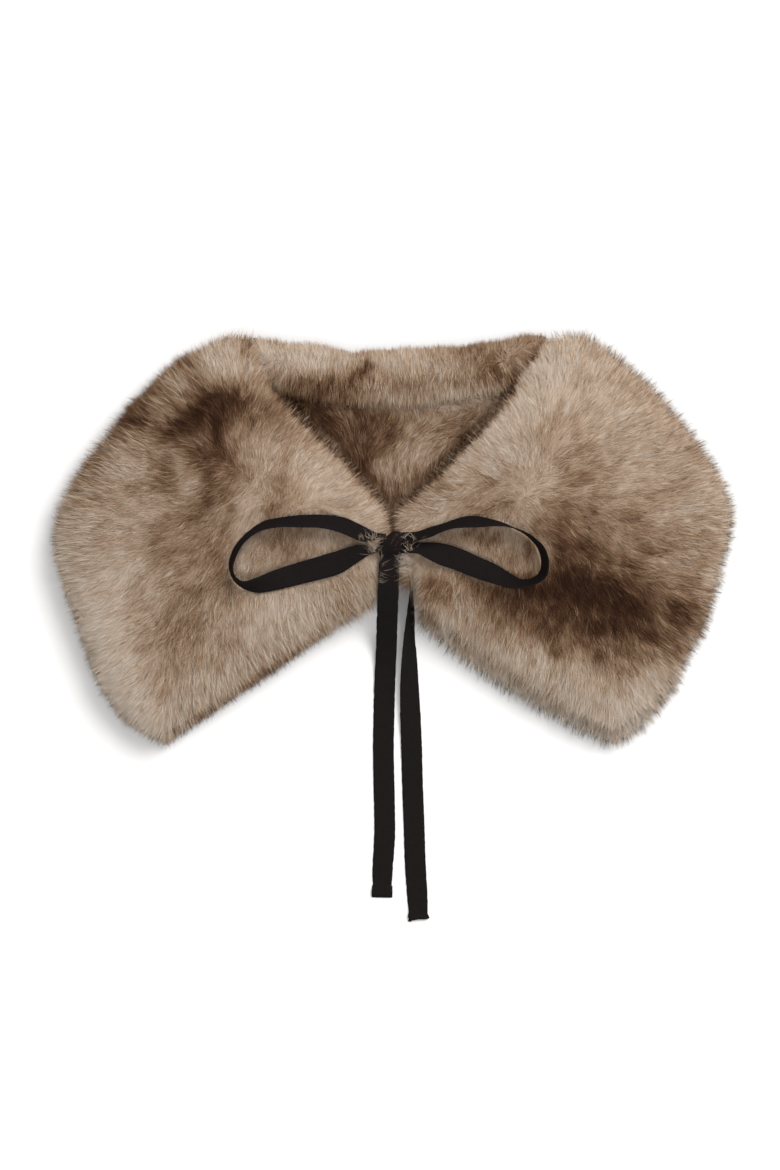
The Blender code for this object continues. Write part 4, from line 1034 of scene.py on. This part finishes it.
def tailRows(nodeName):
    # a tail's rows from the knot to its end, where cuts square to its run cross the CAD tape
    places, faces = skins[nodeName][:2]
    pairs = np.concatenate([faces[:, [0, 1]], faces[:, [1, 2]], faces[:, [2, 0]]])
    a, b = places[pairs[:, 0]], places[pairs[:, 1]]

    def cut(point, run, before):
        offA, offB = (a - point) @ run, (b - point) @ run
        crosses = offA * offB < 0
        t = (offA / np.where(crosses, offA - offB, 1.0))[crosses, None]
        return rowOf(a[crosses] * (1 - t) + b[crosses] * t, before)

    down = np.array([0.0, -1.0, 0.0])
    rows = []
    for y in np.arange(places[:, 1].max() - 2.5, places[:, 1].min() + 9.0, -2.5):
        rows.append(cut(np.array([0.0, y, 0.0]), down, rows[-1] if rows else None))
    run = unit((rows[-1] - rows[-3])[1:2])[0]
    reach = ((places - rows[-1][1]) @ run).max()
    lastCuts = 4
    for _ in range(lastCuts):
        rows.append(cut(rows[-1][1] + run * (reach - 0.4) / lastCuts, run, rows[-1]))
    start = rows[0] + (rows[0] - rows[1]) * 0.4
    over = [np.array([[x - half, y, z - sag], [x, y, z], [x + half, y, z - sag]])
            for x, y, z, half, sag in knotWrap] if nodeName == "tail_left" else [start]
    rows = np.array(over + rows)
    if nodeName == "tail_right":
        # its first stretch lies sunk in the fur
        sink = np.clip((rows[:, 1, 1] - tape["sinkFrom"]) / 7.0, 0.0, 1.0)
        rows[:, :, 2] -= (sink * sink * (3.0 - 2.0 * sink))[:, None] * tape["sink"]
    return turnedHem(rows)


def turnedHem(rows):
    # the end is folded under on itself, and the row of stitches draws the edges in above it
    half = tape["thick"] / 2
    far = np.linalg.norm(rows[:, 1] - rows[-1, 1], axis=1)
    pull = np.where(far > tape["hem"], np.exp(-(far - tape["hem"]) / 7.0), 0.0)
    pull = np.maximum(pull, np.exp(-((far - tape["hem"]) / 1.0) ** 2)) * tape["hemPull"]
    side = unit(rows[:, 2] - rows[:, 0])
    rows[:, 0] += side * pull[:, None]
    rows[:, 2] -= side * pull[:, None]
    isHem = far <= tape["hem"] + 0.5
    rows[isHem, :, 2] = tape["hemThick"] - half
    run = unit(rows[-1:, 1] - rows[-4:-3, 1])[0]
    turn = tape["hemThick"] / 2 - half
    extra = []
    for k in range(1, 7):
        angle = math.pi * k / 6
        extra.append(rows[-1] + run * (turn * math.sin(angle) - turn)
                     + np.array([0, 0, turn * (math.cos(angle) - 1)]))
    for k in range(1, 4):
        extra.append(extra[5] - run * tape["hem"] * k / 3)
    rows[-1] -= run * turn
    return np.concatenate([rows, extra])


def evenRows(rows, step, tucks):
    # the rows set evenly along the tape, and its ends run on under the knot where tucked
    along = np.concatenate([[0], np.cumsum(np.linalg.norm(np.diff(rows[:, 1], axis=0), axis=1))])
    total = along[-1]
    wanted = np.linspace(0, total, int(total / step))
    slope = np.gradient(rows, along, axis=0)
    cell = np.clip(np.searchsorted(along, wanted) - 1, 0, len(along) - 2)
    gap = (along[cell + 1] - along[cell])[:, None, None]
    t = ((wanted - along[cell]) / (along[cell + 1] - along[cell]))[:, None, None]
    even = ((2 * t**3 - 3 * t**2 + 1) * rows[cell] + (t**3 - 2 * t**2 + t) * gap * slope[cell]
            + (3 * t**2 - 2 * t**3) * rows[cell + 1] + (t**3 - t**2) * gap * slope[cell + 1])
    for atEnd in tucks:
        end, inner = (even[-1], even[-5]) if atEnd else (even[0], even[4])
        push = unit((end[1] - inner[1])[None])[0] * step
        extra = np.array([end + push * (k + 1) for k in range(int(tape["tuck"] / step))])
        even = np.concatenate([even, extra] if atEnd else [extra[::-1], even])
    return even


def makeTape(name, nodeName, rows, tucks):
    rows = evenRows(rows, tape["step"], tucks)
    count = len(rows)
    length = np.linalg.norm(np.diff(rows[:, 1], axis=0), axis=1).sum()
    # its faces are narrower towards the edges
    across = np.linspace(-1, 1, tape["across"] + 1)
    across = np.sign(across) * np.abs(across) ** 0.8
    w = across[None, :, None]
    one, middle, other = (rows[:, None, i] for i in range(3))
    sheet = one * (w * (w - 1) / 2) + middle * (1 - w**2) + other * (w * (w + 1) / 2)
    ups = np.cross(np.gradient(sheet, axis=1), np.gradient(sheet, axis=0))
    ups /= np.linalg.norm(ups, axis=2, keepdims=True)
    wave = valueNoise(sheet.reshape(-1, 3), 7.0, 31).reshape(count, -1, 1)
    sheet = sheet + ups * np.maximum(wave * tape["wave"], 0.02 - tape["wave"] / 2)
    fray = valueNoise(rows[:, 1], 0.9, 32)[:, None, None] * tape["fray"]
    sheet += np.where(np.abs(w) > 0.99, w, 0.0) * unit(other[:, 0] - one[:, 0])[:, None] * fray

    bm = bmesh.new()
    placeLayer = bm.verts.layers.float_vector.new("tapePlace")
    grid = bmesh.ops.create_grid(bm, x_segments=tape["across"], y_segments=count - 1, size=1)
    order = sorted(grid["verts"], key=lambda v: (round(v.co.y, 6), v.co.x))
    # the woven edge is thinner than the rest
    thick = tape["thick"] / 2 * (1 - 0.55 * np.abs(across) ** 10)
    for k, vert in enumerate(order):
        i, j = divmod(k, len(across))
        vert[placeLayer] = (float(across[j]) * tape["width"] / 2, i * tape["step"], 0.0)
    copy = bmesh.ops.duplicate(bm, geom=bm.verts[:] + bm.edges[:] + bm.faces[:])
    twin = copy["vert_map"]
    for k, vert in enumerate(order):
        i, j = divmod(k, len(across))
        up = ups[i, j] * thick[j]
        vert.co = (sheet[i, j] + up) * mm
        twin[vert].co = (sheet[i, j] - up) * mm
        for corner, least in zip((vert, twin[vert]), tape["floorGaps"]):
            corner.co.z = max(corner.co.z, least * mm)
    bmesh.ops.bridge_loops(bm, edges=[e for e in bm.edges if e.is_boundary])
    bmesh.ops.recalc_face_normals(bm, faces=bm.faces[:])
    band = addPiece(name, bm, blackTwill, "tape", nodeName)
    return band, length * mm


blackTwill = tapeMaterial(tape)
# The left tail comes down over the knot: middle, half width and how far its edges hang, in mm
knotWrap = (
    (2.6, 57.2, 37.8, 1.6, 0.4), (2.8, 58.4, 40.6, 2.0, 0.7), (2.8, 58.6, 43.2, 2.5, 1.0),
    (2.6, 57.5, 45.0, 3.3, 1.3), (2.0, 55.4, 46.0, 4.4, 1.5), (1.0, 53.2, 46.0, 5.5, 1.6),
    (0.2, 50.8, 45.2, 6.2, 1.3), (-0.4, 48.0, 43.4, 6.6, 1.0), (-0.8, 45.4, 40.8, 6.8, 0.6),
)
bow = {
    "bowLoopLeft": dict(node="bow_loop_left", rows=loopRows, tucks=(False, True),
                        restsOn=["leftFurNeck"]),
    "bowLoopRight": dict(node="bow_loop_right", rows=loopRows, tucks=(False, True),
                         restsOn=["rightFurNeck"]),
    "tailLeft": dict(node="tail_left", rows=tailRows, tucks=(False,), restsOn=["leftFurNeck"]),
    "tailRight": dict(node="tail_right", rows=tailRows, tucks=(False,),
                      restsOn=["rightFurNeck"]),
}
bowPieces = []
for tapeName, values in bow.items():
    rows = values["rows"](values["node"])
    band, length = makeTape(tapeName, values["node"], rows, values["tucks"])
    bowPieces.append(band)
    print("tape laid:", tapeName, round(length * 1000), "mm")


# knot of the bow
knot = {
    "reach": 5.4,            # mm that it runs each side of its middle, along the tails
    "halfWidth": 5.2,
    "rise": 3.8,
    "creases": ((-0.62, 0.40), (-0.15, 0.22), (0.35, 0.34), (0.72, 0.30)),
    "creaseWidth": 0.10,
}


def makeKnot(values):
    low, high = (np.array(corner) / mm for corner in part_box("tape_knot"))
    middle = (low + high) / 2
    bm = bmesh.new()
    placeLayer = bm.verts.layers.float_vector.new("tapePlace")
    bmesh.ops.create_uvsphere(bm, u_segments=48, v_segments=32, radius=1)
    for vert in bm.verts:
        x, y, z = vert.co
        x, y, z = (math.copysign(abs(c) ** 0.72, c) for c in (x, y, z))
        narrow = 1.0 - 0.26 * max(y, 0.0) ** 1.6
        crease = sum(depth * math.exp(-((x - 0.22 * y * x - at) / values["creaseWidth"]) ** 2)
                     for at, depth in values["creases"])
        side = values["halfWidth"] * narrow * x
        up = values["rise"] * z - crease * max(z, 0.0)
        along = values["reach"] * y
        vert[placeLayer] = (side, along, 0.0)
        vert.co = Vector((middle[0] + side, middle[1] + along, middle[2] + up)) * mm
    return addPiece("bowKnot", bm, blackTwill, "tape", "tape_knot")


bowPieces.append(makeKnot(knot))
print("knot tied")


# Loose hairs over the tape: where each clump springs from, its spread, which way it points, how
# many hairs and how dark, in mm and degrees. They rise through the gaps of the bow and lie over
# the tape's edges.
whiskers = (
    (-13.0, 51.0, 3.0, 3.0, 60, 70, 30, 0.28), (-10.0, 50.5, 2.0, 6.0, 90, 60, 44, 0.24),
    (-11.0, 46.5, 3.0, 3.0, 100, 50, 26, 0.24), (-19.0, 58.5, 4.0, 2.0, 300, 50, 6, 0.25),
    (-8.6, 41.0, 1.2, 4.0, 50, 50, 8, 0.25), (-10.6, 33.0, 1.0, 5.0, 10, 50, 14, 0.22),
    (-10.6, 28.0, 1.0, 2.0, 40, 40, 5, 0.22), (0.5, 49.0, 6.0, 5.0, 60, 60, 10, 0.66),
    (10.5, 51.5, 2.0, 4.0, 90, 60, 9, 0.30), (11.5, 58.5, 3.0, 2.0, 260, 60, 10, 0.20),
    (15.5, 51.5, 3.0, 1.5, 80, 60, 3, 0.25), (11.0, 45.0, 2.5, 2.0, 110, 60, 18, 0.20),
    (12.0, 41.0, 2.5, 4.0, 190, 40, 110, 0.18), (13.0, 35.0, 2.5, 4.0, 200, 40, 120, 0.28),
    (11.5, 29.5, 2.5, 3.0, 235, 40, 140, 0.50),
)
whiskerShape = {
    "length": 9.0,           # mm
    "width": 0.46,           # of the other hair's
    "clear": 0.6,            # mm that it clears the tape by
}


def growWhiskers(clumps, values):
    rng = np.random.default_rng(41)
    trees = [solidTree(nodes)]
    for piece in bowPieces:
        corners = [v.co / mm for v in piece.data.vertices]
        trees.append(BVHTree.FromPolygons(corners, [f.vertices for f in piece.data.polygons]))
    places = []
    for x, y, wide, high, turn, spread, count, dark in clumps:
        spot = np.array([x, y]) + rng.standard_normal((count, 2)) * np.array([wide, high]) * 0.5
        angle = np.radians(turn + spread * rng.standard_normal(count) * 0.7)
        places += [(*spot[i], angle[i], dark) for i in range(count)]
    places = np.array(places)
    count = len(places)

    def heightAt(points):
        high = []
        for point in points:
            above = Vector((point[0], point[1], 90.0))
            hits = [tree.ray_cast(above, -skyward)[0] for tree in trees]
            high.append(max([hit[2] for hit in hits if hit] + [0.3]))
        return np.array(high)

    run = np.stack([np.cos(places[:, 2]), np.sin(places[:, 2])], axis=1)
    length = values["length"] * (0.45 + 0.75 * rng.random((count, 1)))
    flat = np.zeros((count, 3))
    flat[:, :2] = places[:, :2]
    bends, tips = flat.copy(), flat.copy()
    bends[:, :2] += run * length * 0.5 + rng.standard_normal((count, 2)) * 1.3
    tips[:, :2] += run * length * (0.9 + 0.2 * rng.random((count, 1)))
    tips[:, :2] += rng.standard_normal((count, 2)) * 0.9
    roots = flat.copy()
    heights = [heightAt(flat + (tips - flat) * part) for part in (0.0, 0.25, 0.5, 0.75, 1.0)]
    roots[:, 2] = np.maximum(heights[0] - 1.0, 0.2)
    tips[:, 2] = np.maximum(heights[3], heights[4]) + values["clear"] * (1.0 + rng.random(count))
    bends[:, 2] = np.max(heights, axis=0) + values["clear"] * 2.5 + 0.6 * rng.random(count)
    dark = np.clip(places[:, 3] + 0.07 * rng.standard_normal(count), *coatRange)
    normals = np.tile(np.array([[0.0, 0.0, 1.0]]), (count, 1))
    kind = rng.choice((0, 2), size=count)
    return hairMesh("whiskers", count, roots, bends, tips, normals, np.stack([dark] * 3), kind, rng,
                    values["width"])


makeObject("whiskers", growWhiskers(whiskers, whiskerShape), outerFur, "outer_fur",
           "left_front_outer", "right_front_outer")
print("whiskers grown")
